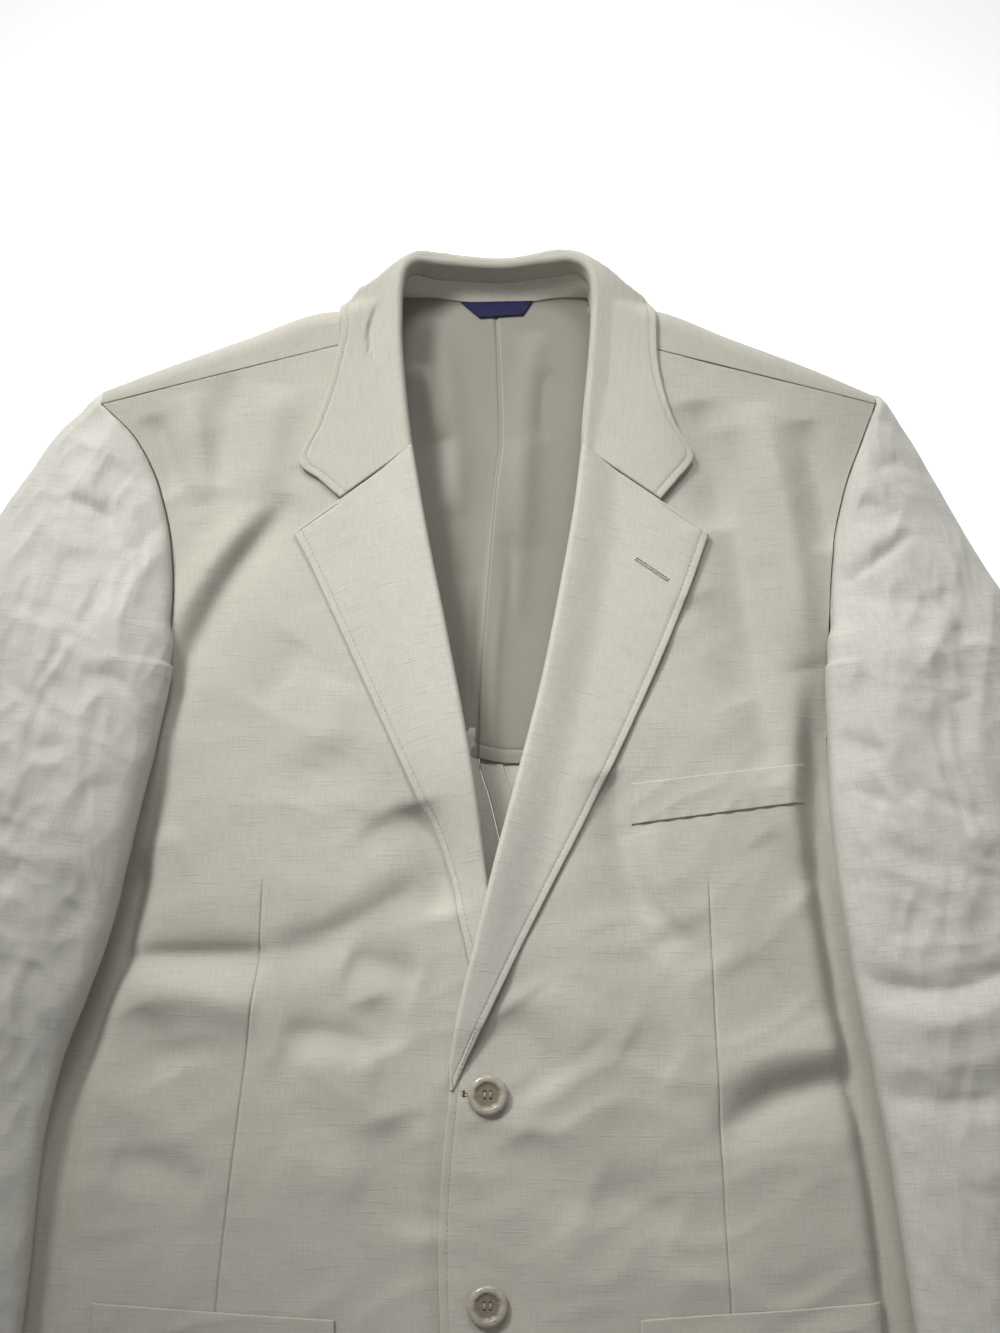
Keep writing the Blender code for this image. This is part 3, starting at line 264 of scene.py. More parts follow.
# Lapel rolls, break point to gorge, and the lapels' outer edges.
LAPEL_LEFT = columns("at roll_x roll_y edge_x edge_y", """
0 -0.0225 -0.081 -0.0125 -0.079
0.1 -0.018 -0.054 -0.001 -0.056
0.22 -0.008 -0.012 0.02 -0.014
0.34 0.0035 0.035 0.043 0.03
0.47 0.0165 0.084 0.068 0.078
0.62 0.0315 0.143 0.096 0.137
0.78 0.0435 0.203 0.12 0.193
0.9 0.052 0.252 0.131 0.222
1 0.0562 0.286 0.1345 0.2315
""")
LAPEL_RIGHT = columns("at roll_x roll_y edge_x edge_y", """
0 0.012 -0.03 -0.008 -0.036
0.14 0.001 0.018 -0.02 0.012
0.3 -0.006 0.07 -0.04 0.065
0.48 -0.014 0.118 -0.064 0.118
0.66 -0.025 0.175 -0.089 0.172
0.84 -0.037 0.235 -0.111 0.218
1 -0.0458 0.286 -0.1185 0.2315
""")
LAPEL_ROLL_RISE = 0.005
LAPEL_ROLL_BASE = 0.002
LAPEL_ROLL_REACH = 0.030
LAPEL_ROLL_FULL = 0.35
LAPEL_FOOT_OUT = 0.0008
FOOT_DROP = 0.0004

# The collar, a row for each section along its roll, from the right gorge round the neck to
# the left one: the roll's place and height, the outward direction, the width of the fall,
# how far the inner side goes down from the roll, and how far it leans outward.
COLLAR = columns("x y z angle width drop lean", """
-0.046 0.2864 0.037 216.9 0.0545 0.004 0.002
-0.0475 0.2985 0.0375 210.7 0.0646 0.006 0.002
-0.049 0.3105 0.038 207.6 0.0745 0.008 0.002
-0.0505 0.325 0.0385 205.7 0.062 0.01 0.002
-0.052 0.342 0.039 204.5 0.052 0.011 0.002
-0.053 0.36 0.039 203.5 0.046 0.012 0.002
-0.053 0.377 0.039 199 0.041 0.012 0.002
-0.0525 0.389 0.039 186 0.041 0.012 0.001
-0.051 0.3985 0.038 168 0.041 0.012 0
-0.047 0.4045 0.0345 135 0.041 0.012 -0.0015
-0.04 0.407 0.0295 108 0.041 0.012 -0.003
-0.027 0.407 0.025 94 0.04 0.012 -0.0035
0.006 0.4055 0.023 90 0.04 0.012 -0.0035
0.033 0.408 0.025 86 0.04 0.012 -0.0035
0.047 0.4085 0.029 74 0.041 0.012 -0.003
0.056 0.405 0.0345 45 0.041 0.012 -0.0015
0.061 0.398 0.038 12 0.041 0.012 0
0.0628 0.389 0.039 -5 0.041 0.012 0.001
0.063 0.377 0.039 -14 0.042 0.012 0.002
0.0622 0.36 0.039 -19 0.044 0.012 0.002
0.0608 0.342 0.039 -22 0.05 0.011 0.002
0.0592 0.325 0.0385 -23.4 0.06 0.01 0.002
0.0577 0.3105 0.038 -23.9 0.0746 0.008 0.002
0.0567 0.2985 0.0375 -29.4 0.067 0.006 0.002
0.0562 0.2864 0.037 -34.8 0.0585 0.004 0.002
""")
# The outline that the collar's fold shows from above.
COLLAR_OUTLINE = columns("x y", """
-0.11 0.3765
-0.084 0.3865
-0.071 0.394
-0.051 0.412
-0.044 0.4165
-0.031 0.417
0.006 0.414
0.02 0.415
0.041 0.419
0.054 0.4155
0.064 0.409
0.079 0.398
0.092 0.3865
0.115 0.375
""")
# Where the stand meets the neck seam, measured from the roll as the collar's rows are, and how
# far its upper edge sinks below the collar where it turns outward.
STAND_FOOT = columns("row out z sink", """
4.5 0.011 0.019 0.002
6 0.01 0.018 0.002
8 0.001 0.015 0
10 -0.008 0.0055 0
12 -0.0115 0.0034 0
14 -0.01 0.0055 0
16 -0.0005 0.016 0
18 0.0025 0.019 0.0012
19.5 0.008 0.019 0.002
""")

# Sleeves below the armhole: the inner fold, and the outer fold from the shoulder down.
SLEEVE_RIGHT = columns("at inner_x inner_y outer_x outer_y puff", """
0 -0.19 0.152 -0.355 0.163 0.024
0.12 -0.195 0.11 -0.373 0.129 0.026
0.22 -0.2035 0.072 -0.389 0.095 0.027
0.32 -0.211 0.035 -0.401 0.06 0.027
0.42 -0.2195 -0.002 -0.4105 0.022 0.027
0.52 -0.233 -0.043 -0.4175 -0.017 0.026
0.62 -0.247 -0.082 -0.4215 -0.057 0.025
0.72 -0.256 -0.13 -0.4225 -0.108 0.024
0.86 -0.261 -0.206 -0.419 -0.196 0.021
1 -0.268 -0.277 -0.4155 -0.267 0.018
""")
SLEEVE_LEFT = columns("at inner_x inner_y outer_x outer_y puff", """
0 0.203 0.152 0.34 0.158 0.024
0.12 0.201 0.115 0.359 0.126 0.026
0.22 0.201 0.076 0.375 0.092 0.027
0.32 0.2035 0.038 0.39 0.056 0.027
0.42 0.208 0 0.4 0.018 0.027
0.52 0.214 -0.04 0.407 -0.022 0.026
0.62 0.222 -0.083 0.4085 -0.068 0.025
0.72 0.23 -0.133 0.407 -0.12 0.024
0.86 0.239 -0.208 0.402 -0.2 0.021
1 0.248 -0.285 0.3955 -0.278 0.018
""")
# Outline of the sleeve head, from the shoulder fold down to the row of the pit's fold.
HEAD_OUTER = columns("at right_x right_y left_x left_y puff", """
0 -0.248 0.324 0.247 0.3205 0.001
0.12 -0.255 0.3165 0.253 0.3135 0.003
0.26 -0.268 0.303 0.262 0.299 0.008
0.42 -0.285 0.277 0.279 0.266 0.014
0.62 -0.308 0.24 0.3 0.225 0.019
0.82 -0.333 0.199 0.322 0.188 0.0225
1 -0.355 0.163 0.34 0.158 0.024
""")
# Inner edge of the under sleeve beside the back's armhole and over the flank.
UNDER_INNER = columns("at right_x right_y left_x left_y", """
0 -0.2385 0.315 0.2385 0.314
0.15 -0.229 0.26 0.231 0.26
0.3 -0.225 0.21 0.228 0.21
0.45 -0.2345 0.16 0.2365 0.16
0.62 -0.251 0.128 0.252 0.128
0.74 -0.238 0.112 0.24 0.112
0.86 -0.22 0.102 0.223 0.102
1 -0.2 0.096 0.201 0.096
""")

# The lining's pleat, from its hem to the neck.
PLEAT = columns("y x", """
0.098 -0.006
0.141 -0.005
0.197 -0.001
0.274 0.005
0.3 0.008
0.395 0.005
""")
LINING_HEM = columns("x y", """
-0.2 0.112
-0.011 0.101
0.018 0.096
0.2 0.106
""")

# Corners of the flat trim, from the lower inner corner round.
WELT_CORNERS = ((0.084, 0.057), (0.189, 0.071), (0.189, 0.094), (0.084, 0.081))
FLAP_CORNERS = ((0.084, -0.272), (0.222, -0.262), (0.224, -0.212), (0.086, -0.220))
LABEL_CORNERS = ((-0.006, 0.3810), (0.022, 0.3830), (0.028, 0.3925), (-0.018, 0.3915))


def through(keys, values):
    """A smooth curve through the given points that never swings past them."""
    keys = np.asarray(keys, float)
    values = np.asarray(values, float)
    step = np.diff(keys)
    slope = np.diff(values) / step
    tangent = np.zeros_like(values)
    for index in range(1, len(keys) - 1):
        before, after = slope[index - 1], slope[index]
        if before * after > 0.0:
            tangent[index] = 2.0 * before * after / (before + after)
    tangent[0], tangent[-1] = slope[0], slope[-1]

    def curve(position):
        position = np.clip(position, keys[0], keys[-1])
        cell = np.clip(np.searchsorted(keys, position) - 1, 0, len(step) - 1)
        part = (position - keys[cell]) / step[cell]
        rest = 1.0 - part
        ends = values[cell] * (1 + 2 * part) * rest**2 + values[cell + 1] * part**2 * (3 - 2 * part)
        swing = tangent[cell] * part * rest**2 - tangent[cell + 1] * part**2 * rest
        return ends + step[cell] * swing

    return curve


def fade(start, end, value):
    """0 at start and before, 1 at end and after, smooth between."""
    part = np.clip((value - start) / (end - start), 0.0, 1.0)
    return part * part * (3.0 - 2.0 * part)


def between(low, high, share):
    """A blend of two places or values: low at a share of 0, high at 1."""
    return low * (1.0 - share) + high * share


def raised(plan, level):
    """Plan points with their heights."""
    return np.concatenate([plan, level[..., None]], axis=-1)


def curves_of(table, key):
    """A curve through each column of a table, along its key column."""
    return {name: through(table[key], values) for name, values in table.items()}


def plan_points(curves, name, at):
    """Plan points from the x and y curves of a name."""
    return np.stack([curves[f"{name}_x"](at), curves[f"{name}_y"](at)], axis=-1)


side_names = {-1: "right", 1: "left"}


def side_curves(table, key="y"):
    """Curves through a table's right and left columns, by side of the centre line."""
    return {side: through(table[key], table[name]) for side, name in side_names.items()}


def joined(low, high, count=None):
    """The first rows of one table with those of another above them."""
    return {name: np.append(low[name][:count], high[name]) for name in ("y", "right", "left")}


front_outer_y = through(FRONT_OUTER["at"], FRONT_OUTER["y"])
front_inner_y = through(FRONT_INNER["at"], FRONT_INNER["y"])
front_outer = side_curves(FRONT_OUTER, "at")
front_inner = side_curves(FRONT_INNER, "at")
front_edge_across = side_curves(FRONT_OUTER)
arch_half_width = side_curves(joined(FRONT_OUTER, ARCH_ABOVE_PIT, PIT_ROW + 1))
back_outer = side_curves(joined(FRONT_OUTER, BACK_ARMHOLE, PIT_ROW))
neck_edge = side_curves(joined(FRONT_INNER, NECK_END))
shoulder_fold = side_curves(SHOULDER_FOLD, "across")
dart_across = side_curves(DART)
crown = through(*CROWN.values())
collar_outline = through(*COLLAR_OUTLINE.values())
centre_back = through(*CENTRE_BACK.values())
pleat_x = through(*PLEAT.values())
lining_hem = through(*LINING_HEM.values())
lapel_curves = {-1: curves_of(LAPEL_RIGHT, "at"), 1: curves_of(LAPEL_LEFT, "at")}
sleeve_curves = {-1: curves_of(SLEEVE_RIGHT, "at"), 1: curves_of(SLEEVE_LEFT, "at")}
head_curves = curves_of(HEAD_OUTER, "at")
under_curves = curves_of(UNDER_INNER, "at")


# ---- creases ------------------------------------------------------------------------------

# Creases of the fronts beside their largest folds. Seen from its start, a crease bows to its
# left by bow, reaches width to its left and skew times as far to its right.
FRONT_CREASES = columns("x0 y0 x1 y1 bow height width skew", """
-0.117 0.256 -0.193 0.112 -0.011 -0.0046 0.0095 0.7
-0.13 0.254 -0.199 0.146 -0.009 0.0046 0.009 1.3
-0.112 0.166 -0.138 0.128 0.003 -0.0019 0.01 1.4
-0.086 0.142 -0.104 0.09 0.003 0.0019 0.012 1.3
-0.206 0.308 -0.19 0.258 0.002 -0.0034 0.006 1.8
-0.182 0.322 -0.172 0.252 0.001 0.003 0.007 1.6
-0.158 0.334 -0.166 0.262 0 -0.003 0.008 1.4
-0.128 0.326 -0.141 0.252 0.002 0.003 0.011 1.5
-0.218 -0.02 -0.124 -0.018 0.001 -0.0061 0.0055 2.4
-0.128 -0.018 -0.04 0.022 -0.005 -0.0045 0.008 2
-0.214 -0.031 -0.132 -0.05 0.001 0.0045 0.009 1.6
-0.12 -0.064 -0.066 -0.071 0.004 -0.0036 0.007 2.2
-0.112 -0.079 -0.06 -0.086 0.003 0.0024 0.009 1.3
-0.042 0.07 -0.026 0.004 0.004 -0.0069 0.01 1.6
-0.082 -0.022 -0.04 -0.034 0.004 -0.0049 0.01 1.3
-0.071 -0.044 -0.058 -0.074 0.003 -0.0036 0.009 1.4
-0.076 0.046 -0.036 0.062 0.003 -0.0028 0.008 1.6
-0.204 -0.048 -0.184 -0.088 0.004 -0.0036 0.01 1.5
-0.206 0.034 -0.178 0.05 0.003 0.0024 0.01 1.4
-0.11 0.068 -0.094 0.104 0.002 -0.0016 0.012 1.2
-0.052 -0.108 -0.034 -0.176 -0.005 -0.0036 0.013 1.3
-0.215 -0.132 -0.16 -0.15 0.003 -0.0032 0.01 1.6
-0.12 -0.13 -0.07 -0.15 0.003 0.0024 0.012 1.4
-0.225 -0.262 -0.16 -0.284 0.004 -0.0028 0.012 1.6
-0.1 -0.318 -0.06 -0.262 0.004 0.0028 0.014 1.4
0.164 0.316 0.19 0.15 0.004 0.0086 0.012 1.2
0.146 0.298 0.171 0.08 -0.004 -0.0078 0.01 1.6
0.126 0.196 0.152 0.13 0.003 -0.0034 0.01 1.5
0.128 0.316 0.14 0.236 0.001 -0.0052 0.011 1.4
0.192 0.304 0.206 0.222 0.002 -0.0056 0.008 1.4
0.072 0.088 0.098 -0.004 -0.005 -0.0066 0.008 1.6
0.092 0.056 0.116 -0.006 -0.003 0.0032 0.01 1.5
0.16 0.05 0.186 0.016 0.004 -0.0024 0.01 1.4
0.11 0.002 0.092 -0.016 0.002 -0.0024 0.01 1.4
0.128 -0.122 0.226 -0.088 0.007 -0.0078 0.013 1.1
0.128 -0.088 0.214 -0.07 0.004 0.0032 0.01 1.5
0.01 -0.05 0.036 -0.094 0.004 -0.0049 0.012 1.4
0.034 -0.036 0.06 -0.07 0.003 0.002 0.012 1.4
0.08 -0.066 0.108 -0.082 0.002 -0.002 0.012 1.4
0.02 -0.118 0.05 -0.17 0.004 -0.0028 0.012 1.5
0.15 -0.02 0.176 -0.052 0.003 -0.0019 0.012 1.4
0.06 -0.15 0.108 -0.17 0.004 -0.0024 0.012 1.4
0.15 -0.29 0.216 -0.322 0.004 -0.0028 0.013 1.5
0.07 -0.3 0.112 -0.35 0.004 0.0026 0.014 1.4
""")
# Creases of the sleeves.
SLEEVE_CREASES = columns("x0 y0 x1 y1 bow height width skew", """
-0.257 0.253 -0.224 0.238 0.001 -0.0022 0.0024 1.6
-0.252 0.262 -0.228 0.249 0.001 0.0016 0.006 1
-0.212 0.216 -0.192 0.242 0.001 -0.0026 0.005 1.6
-0.224 0.254 -0.208 0.276 0.001 -0.002 0.0045 1.6
-0.273 0.276 -0.257 0.298 0.001 0.0019 0.006 1.4
-0.25 0.222 -0.264 0.172 0.003 -0.0034 0.01 1.6
-0.288 0.232 -0.304 0.16 0.003 0.0034 0.01 1.4
-0.236 0.143 -0.208 0.136 0.001 -0.0022 0.005 2
-0.318 0.196 -0.336 0.12 0.003 -0.0037 0.01 1.6
-0.266 0.096 -0.24 0.1 0.001 -0.0019 0.005 2
-0.234 0.074 -0.209 0.079 0.001 -0.0019 0.006 1.6
-0.262 0.12 -0.276 0.056 0.002 0.0026 0.01 1.5
-0.276 0.016 -0.264 0.036 0.001 -0.003 0.005 1.8
-0.3 0.086 -0.348 0.074 0.003 -0.0041 0.007 1.8
-0.268 -0.062 -0.256 -0.022 0.001 -0.003 0.0055 1.8
-0.246 -0.03 -0.231 0.01 0.002 -0.0026 0.008 1.6
-0.256 -0.102 -0.241 -0.056 0.002 -0.0026 0.007 1.6
-0.28 0.052 -0.394 0.02 -0.005 -0.0049 0.0065 2.2
-0.292 -0.018 -0.402 -0.046 -0.005 -0.0056 0.0065 2.2
-0.33 0.01 -0.4 0.016 0.004 0.003 0.009 1.4
-0.3 -0.086 -0.392 -0.098 0.003 -0.0034 0.008 1.8
-0.296 -0.16 -0.33 -0.25 0.003 0.0034 0.012 1.4
-0.372 -0.13 -0.38 -0.23 0.003 -0.0034 0.011 1.5
0.254 0.23 0.211 0.198 0.001 -0.0026 0.0024 2
0.25 0.238 0.208 0.208 0.001 0.0018 0.007 1
0.223 0.25 0.246 0.239 0.001 -0.003 0.006 1.6
0.234 0.268 0.252 0.279 0.001 -0.0026 0.005 1.6
0.268 0.196 0.281 0.16 0.002 -0.0034 0.005 2
0.278 0.174 0.302 0.118 0.002 -0.0034 0.006 2
0.262 0.166 0.276 0.128 0.002 0.0022 0.007 1.4
0.194 0.106 0.234 0.094 0.003 -0.0034 0.005 2.2
0.234 0.097 0.282 0.054 -0.004 -0.0037 0.0055 2.2
0.204 0.077 0.23 0.067 0.002 -0.0026 0.005 2
0.246 0.074 0.286 0.036 0.003 0.0026 0.007 1.4
0.236 0.05 0.254 0.002 0.002 -0.0026 0.0055 1.8
0.25 0.044 0.263 -0.022 0.002 -0.0026 0.0055 1.8
0.222 0.038 0.236 -0.006 0.001 0.0019 0.007 1.4
0.28 0.03 0.292 -0.016 0.002 -0.0022 0.006 1.6
0.206 -0.026 0.3 -0.026 -0.013 -0.005 0.0052 2.6
0.209 -0.043 0.296 -0.042 -0.014 0.0035 0.0085 1.5
0.219 -0.092 0.3 -0.09 -0.01 -0.0027 0.0055 2.4
0.224 -0.074 0.27 -0.078 -0.006 0.0018 0.008 1.4
0.3 -0.03 0.402 0.006 0.004 -0.0049 0.0065 2.2
0.304 0.06 0.392 0.03 0.004 -0.0041 0.0065 2
0.318 0.108 0.338 0.02 0.003 0.0034 0.009 1.4
0.342 0.136 0.364 0.06 0.003 -0.0034 0.008 1.6
0.3 -0.12 0.322 -0.23 0.003 -0.0034 0.011 1.5
0.36 -0.11 0.368 -0.22 0.003 0.0034 0.012 1.4
""")

lattice_draw = np.random.default_rng(19)
LATTICE = lattice_draw.permutation(256)
LATTICE_ANGLES = lattice_draw.uniform(0.0, 2.0 * math.pi, 256)


def crossed(table, x, y):
    """Places beside each line of a table: along it from 0 to 1, off its left, and past its ends."""
    x = np.asarray(x, float)[..., None]
    y = np.asarray(y, float)[..., None]
    run_x = table["x1"] - table["x0"]
    run_y = table["y1"] - table["y0"]
    length = np.hypot(run_x, run_y)
    along = ((x - table["x0"]) * run_x + (y - table["y0"]) * run_y) / length**2
    off = ((y - table["y0"]) * run_x - (x - table["x0"]) * run_y) / length
    inside = np.clip(along, 0.0, 1.0)
    return inside, off, (along - inside) * length


def folds(table, x, y):
    """The sum of the table's soft ridges and troughs at a point."""
    _, off, past = crossed(table, x, y)
    away = np.hypot(off, past)
    return (table["height"] * np.exp(-((away / table["width"]) ** 2))).sum(axis=-1)


# Share of the part's own folds that is kept beside the creases placed here.
FOLD_SHARE = 0.45
CREASE_TIP = 0.0007


def creases(table, x, y, sharp=1.7):
    """The sum of a table's creases, which run out softly at both ends.

    sharp tells how sharp their crests are: 1 a sharp line, 2 a soft round.
    """
    inside, off, past = crossed(table, x, y)
    off = off - table["bow"] * 4.0 * inside * (1.0 - inside)
    reach = table["width"] * np.where(off < 0.0, table["skew"], 1.0)
    strength = table["height"] * (1.0 - (2.0 * inside - 1.0) ** 4)
    beside = (np.hypot(off, CREASE_TIP) - CREASE_TIP) / reach
    profile = np.exp(-(beside**sharp) - (past / table["width"]) ** 2)
    return (strength * profile).sum(axis=-1)


def noise(x, y, seed=0):
    """Smooth noise of about -1 to 1, with features of size 1."""
    column = np.floor(x).astype(int)
    row = np.floor(y).astype(int)
    total = 0.0
    for step_x in (0, 1):
        for step_y in (0, 1):
            part_x = x - column - step_x
            part_y = y - row - step_y
            pick = LATTICE[(column + step_x + seed) & 255] + row + step_y
            angle = LATTICE_ANGLES[LATTICE[pick & 255]]
            slope = np.cos(angle) * part_x + np.sin(angle) * part_y
            near_x = 1.0 - np.abs(part_x)
            near_y = 1.0 - np.abs(part_y)
            total = total + slope * near_x**2 * (3 - 2 * near_x) * near_y**2 * (3 - 2 * near_y)
    return 1.5 * total


def rumple(x, y, height, size, seed, turn, stretch):
    """Crushed cloth: flat facets that meet in soft ridges, longer along the given turn."""
    along = (x * math.cos(turn) + y * math.sin(turn)) / (size * stretch)
    across = (y * math.cos(turn) - x * math.sin(turn)) / size
    bent = across + 0.45 * noise(along * 0.7 + 9.0, across * 0.7, seed + 3)
    return height * (0.30 - np.abs(noise(along, bent, seed)))


# ---- heights ------------------------------------------------------------------------------


def by_side(pair, x, value):
    """Read a pair of curves, one for each side of the centre line."""
    return np.where(x < 0.0, pair[-1](value), pair[1](value))


def arch_top(x, y):
    """Top of the fronts' arch over the body, before the closure's overlap."""
    reach = np.clip(np.abs(x) / by_side(arch_half_width, x, y), 0.0, 1.0)
    arch = (1.0 - reach**ARCH_ROUND) ** ARCH_FLAT
    level = SIDE_SEAM_Z + EDGE_HEIGHT + crown(y) * arch
    bends = FOLD_SHARE * folds(FRONT_FOLDS, x, y) + creases(FRONT_CREASES, x, y)
    return level + bends * fade(0.0, FOLDS_FULL, arch)


def left_front_top(x, y):
    """The left front is lifted where the closure lies over the right front."""
    lift = fade(*OVERLAP_FADE_X, x) * fade(*OVERLAP_FADE_Y, y)
    return arch_top(x, y) + OVERLAP_RAISE * lift


def right_front_top(x, y):
    """The right front sinks where its lapel goes under the left lapel."""
    along = np.exp(-(((y - LAPEL_DIP_Y) / LAPEL_DIP_LENGTH) ** 4))
    return arch_top(x, y) - LAPEL_DIP * along * fade(*LAPEL_DIP_FADE_X, x)


front_top = {-1: right_front_top, 1: left_front_top}


def seam_y(across):
    """The straight shoulder seam, forward of the shoulder's fold."""
    part = (across - SHOULDER_NECK[0]) / (SHOULDER_TIP[0] - SHOULDER_NECK[0])
    return SHOULDER_NECK[1] + part * (SHOULDER_TIP[1] - SHOULDER_NECK[1])


def shoulder_top(x, y, lift=0.0):
    """Top of the fronts and of the back's rounded shoulder edge, moved out by lift."""
    fold_y = by_side(shoulder_fold, x, np.abs(x))
    middle = arch_top(x, y) / 2.0
    radius = np.minimum(SHOULDER_RADIUS, fold_y - seam_y(np.abs(x)) - SEAM_GAP)
    beyond = np.clip((y - fold_y + radius) / (radius + lift), 0.0, 1.0)
    return middle + (middle + lift) * np.sqrt(1.0 - beyond**2)


def arch_cover(x, y):
    """Highest point of the fronts' arch close round a place."""
    height = arch_top(x, y)
    for step_x in (-LAY_REACH, LAY_REACH):
        for step_y in (-LAY_REACH, LAY_REACH):
            height = np.maximum(height, arch_top(x + step_x, y + step_y))
    return height + LAY_GAP


def flank_top(x, y):
    """What the under sleeves lie on: the front's flank, then the table beside it."""
    edge = np.maximum(
        by_side(front_edge_across, x, y), by_side(front_edge_across, x, y - LAY_REACH)
    )
    beside = fade(*FLANK_EASE, np.abs(x) - edge) * fade(*FLANK_END_Y, y)
    return arch_cover(x, y) * beside


# ---- shells -------------------------------------------------------------------------------

# Distances from a turned edge at which a shell has points, and those round a stitched line.
EDGE = (0.0, 0.0002, 0.0005, 0.0009, 0.0014)
STITCH_IN = 0.005
STITCH_POINTS = tuple(STITCH_IN + step for step in (-0.0012, -0.0006, 0.0, 0.0006, 0.0012))
STITCHED_EDGE = EDGE + STITCH_POINTS
EDGE_ROUND = 0.0011
SEAM_ROUND = 0.0006
# The inner skin has points at every second row and column, and along the whole rim.
INNER_STEP = 2
STITCH_SINK = 0.00040
STITCH_REACH = 0.0007

made = {}


def spaced(width, count, low=EDGE, high=EDGE):
    """Shares of rows of the given widths: set distances from both edges, even between."""
    width = np.atleast_1d(width).astype(float)[:, None]
    squeeze = np.minimum(1.0, width / (3.0 * (low[-1] + high[-1])))
    start = np.array(low)[None] * squeeze / width
    end = 1.0 - np.array(high)[None, ::-1] * squeeze / width
    even = np.linspace(0.0, 1.0, count + 2)[None, 1:-1]
    middle = start[:, -1:] + (end[:, :1] - start[:, -1:]) * even
    return np.concatenate([start, middle, end], axis=1)


def turned(distance, radius=EDGE_ROUND):
    """How far the skin sinks at a distance from a rounded edge."""
    short = np.clip(radius - distance, 0.0, radius)
    return radius - np.sqrt(radius**2 - short**2)


def seam_sink(distance, depth=STITCH_SINK, reach=STITCH_REACH):
    """The narrow groove that a line of stitches pulls into the cloth."""
    return depth * np.exp(-((distance / reach) ** 2))


def unit(vectors):
    """Vectors of length 1."""
    length = np.linalg.norm(vectors, axis=-1, keepdims=True)
    return vectors / np.maximum(length, 1e-12)


def skin_normals(grid):
    """Outward directions of a grid, squared up at its end rows as cut cloth is."""
    normal = unit(np.cross(np.gradient(grid, axis=1), np.gradient(grid, axis=0)))
    for end in (0, -1):
        along = np.gradient(grid[end], axis=0)
        across = unit(np.stack([-along[:, 1], along[:, 0], np.zeros(len(along))], axis=-1))
        tilt = (normal[end] * across).sum(axis=-1, keepdims=True)
        normal[end] = np.where(np.abs(tilt) > STEEP_TILT, normal[end], normal[end] - tilt * across)
    return normal


def inner_faces(inner):
    """Faces of the inner skin: coarse cells, with every point of the rim along its edges."""
    last_row, last_column = np.array(inner.shape) - 1
    faces = []
    for row in range(0, last_row, INNER_STEP):
        for column in range(0, last_column, INNER_STEP):
            cell = inner[row:row + INNER_STEP + 1, column:column + INNER_STEP + 1]
            on_rim = (column == 0, row + INNER_STEP == last_row,
                      column + INNER_STEP == last_column, row == 0)
            left, far, right, near = (1 if rim else INNER_STEP for rim in on_rim)
            loop = [*cell[::left, 0][:-1], *cell[-1, ::far][:-1]]
            loop += [*cell[::right, -1][:0:-1], *cell[0, ::near][:0:-1]]
            faces.append([int(place) for place in loop])
    return faces


def rim_loop(index):
    """The border of an index grid, in the order of its faces."""
    return np.concatenate([index[0, :-1], index[:-1, -1], index[-1, :0:-1], index[:0:-1, 0]])


def quads(*corners):
    """Faces from the grids of their four corners."""
    return np.stack([corner.ravel() for corner in corners], axis=1).tolist()


def kept(size):
    """Places of a row that leave a whole number of coarse cells: some middle ones go."""
    extra = (size - 1) % INNER_STEP
    return np.delete(np.arange(size), size // 2 + np.arange(extra))


def shell(name, grid, weave, thickness, look, sink=0.0, floor=None, up=True):
    """A closed thin shell. The grid is its outer skin, which faces up or down for the most part,
    and the inner skin lies a thickness behind it."""
    sink = np.broadcast_to(sink, grid.shape[:2])
    lift = np.cross(np.diff(grid[:-1], axis=1), np.diff(grid[:, :-1], axis=0))[..., 2].sum()
    if (lift > 0.0) != up:
        grid, weave, sink = grid[::-1], weave[::-1], sink[::-1]
    picked = np.ix_(kept(grid.shape[0]), kept(grid.shape[1]))
    grid, weave, sink = grid[picked], weave[picked], sink[picked]
    rows, across = grid.shape[:2]
    normal = skin_normals(grid)
    outer = grid - normal * sink[..., None]
    inner = grid - normal * thickness
    if floor is not None:
        outer[..., 2] = np.maximum(outer[..., 2], min(floor, 0.0))
        inner[..., 2] = np.maximum(inner[..., 2], floor)
    index = np.arange(rows * across).reshape(rows, across)
    used = np.zeros((rows, across), bool)
    used[::INNER_STEP, ::INNER_STEP] = True
    used[[0, -1]] = True
    used[:, [0, -1]] = True
    inner_index = np.full((rows, across), -1)
    inner_index[used] = rows * across + np.arange(used.sum())
    ring, inner_ring = rim_loop(index), rim_loop(inner_index)
    faces = quads(index[:-1, :-1], index[:-1, 1:], index[1:, 1:], index[1:, :-1])
    faces += inner_faces(inner_index)
    faces += quads(np.roll(ring, -1), ring, inner_ring, np.roll(inner_ring, -1))
    points = np.concatenate([outer.reshape(-1, 3), inner[used]])
    flat = np.concatenate([weave.reshape(-1, 2), weave[used]])
    made[name] = (outer, normal)
    add_mesh(name, points, faces, flat, look)


def add_mesh(name, points, faces, weave, look):
    """A smooth mesh with its cloth places in metres, riding on the part."""
    mesh = bpy.data.meshes.new(name)
    mesh.from_pydata(points.tolist(), [], faces)
    places = np.zeros(len(mesh.loops), np.int32)
    mesh.loops.foreach_get("vertex_index", places)
    layer = mesh.uv_layers.new(name="weave")
    layer.data.foreach_set("uv", np.asarray(weave, np.float32)[places].ravel())
    mesh.shade_smooth()
    mesh.materials.append(looks[look])
    piece = bpy.data.objects.new(f"look_{name}", mesh)
    bpy.context.collection.objects.link(piece)
    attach(piece, "root")
    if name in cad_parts:
        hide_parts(name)


def travelled(grid, axis):
    """Distance covered along the rows or columns of a grid."""
    step = np.linalg.norm(np.diff(grid, axis=axis), axis=-1)
    return np.insert(np.cumsum(step, axis=axis), 0, 0.0, axis=axis)


def points_at(path, covered, distances):
    """Points of a path at the given distances, by what each of its own points has covered."""
    return np.stack([np.interp(distances, covered, column) for column in path.T], axis=1)


# ---- back ---------------------------------------------------------------------------------

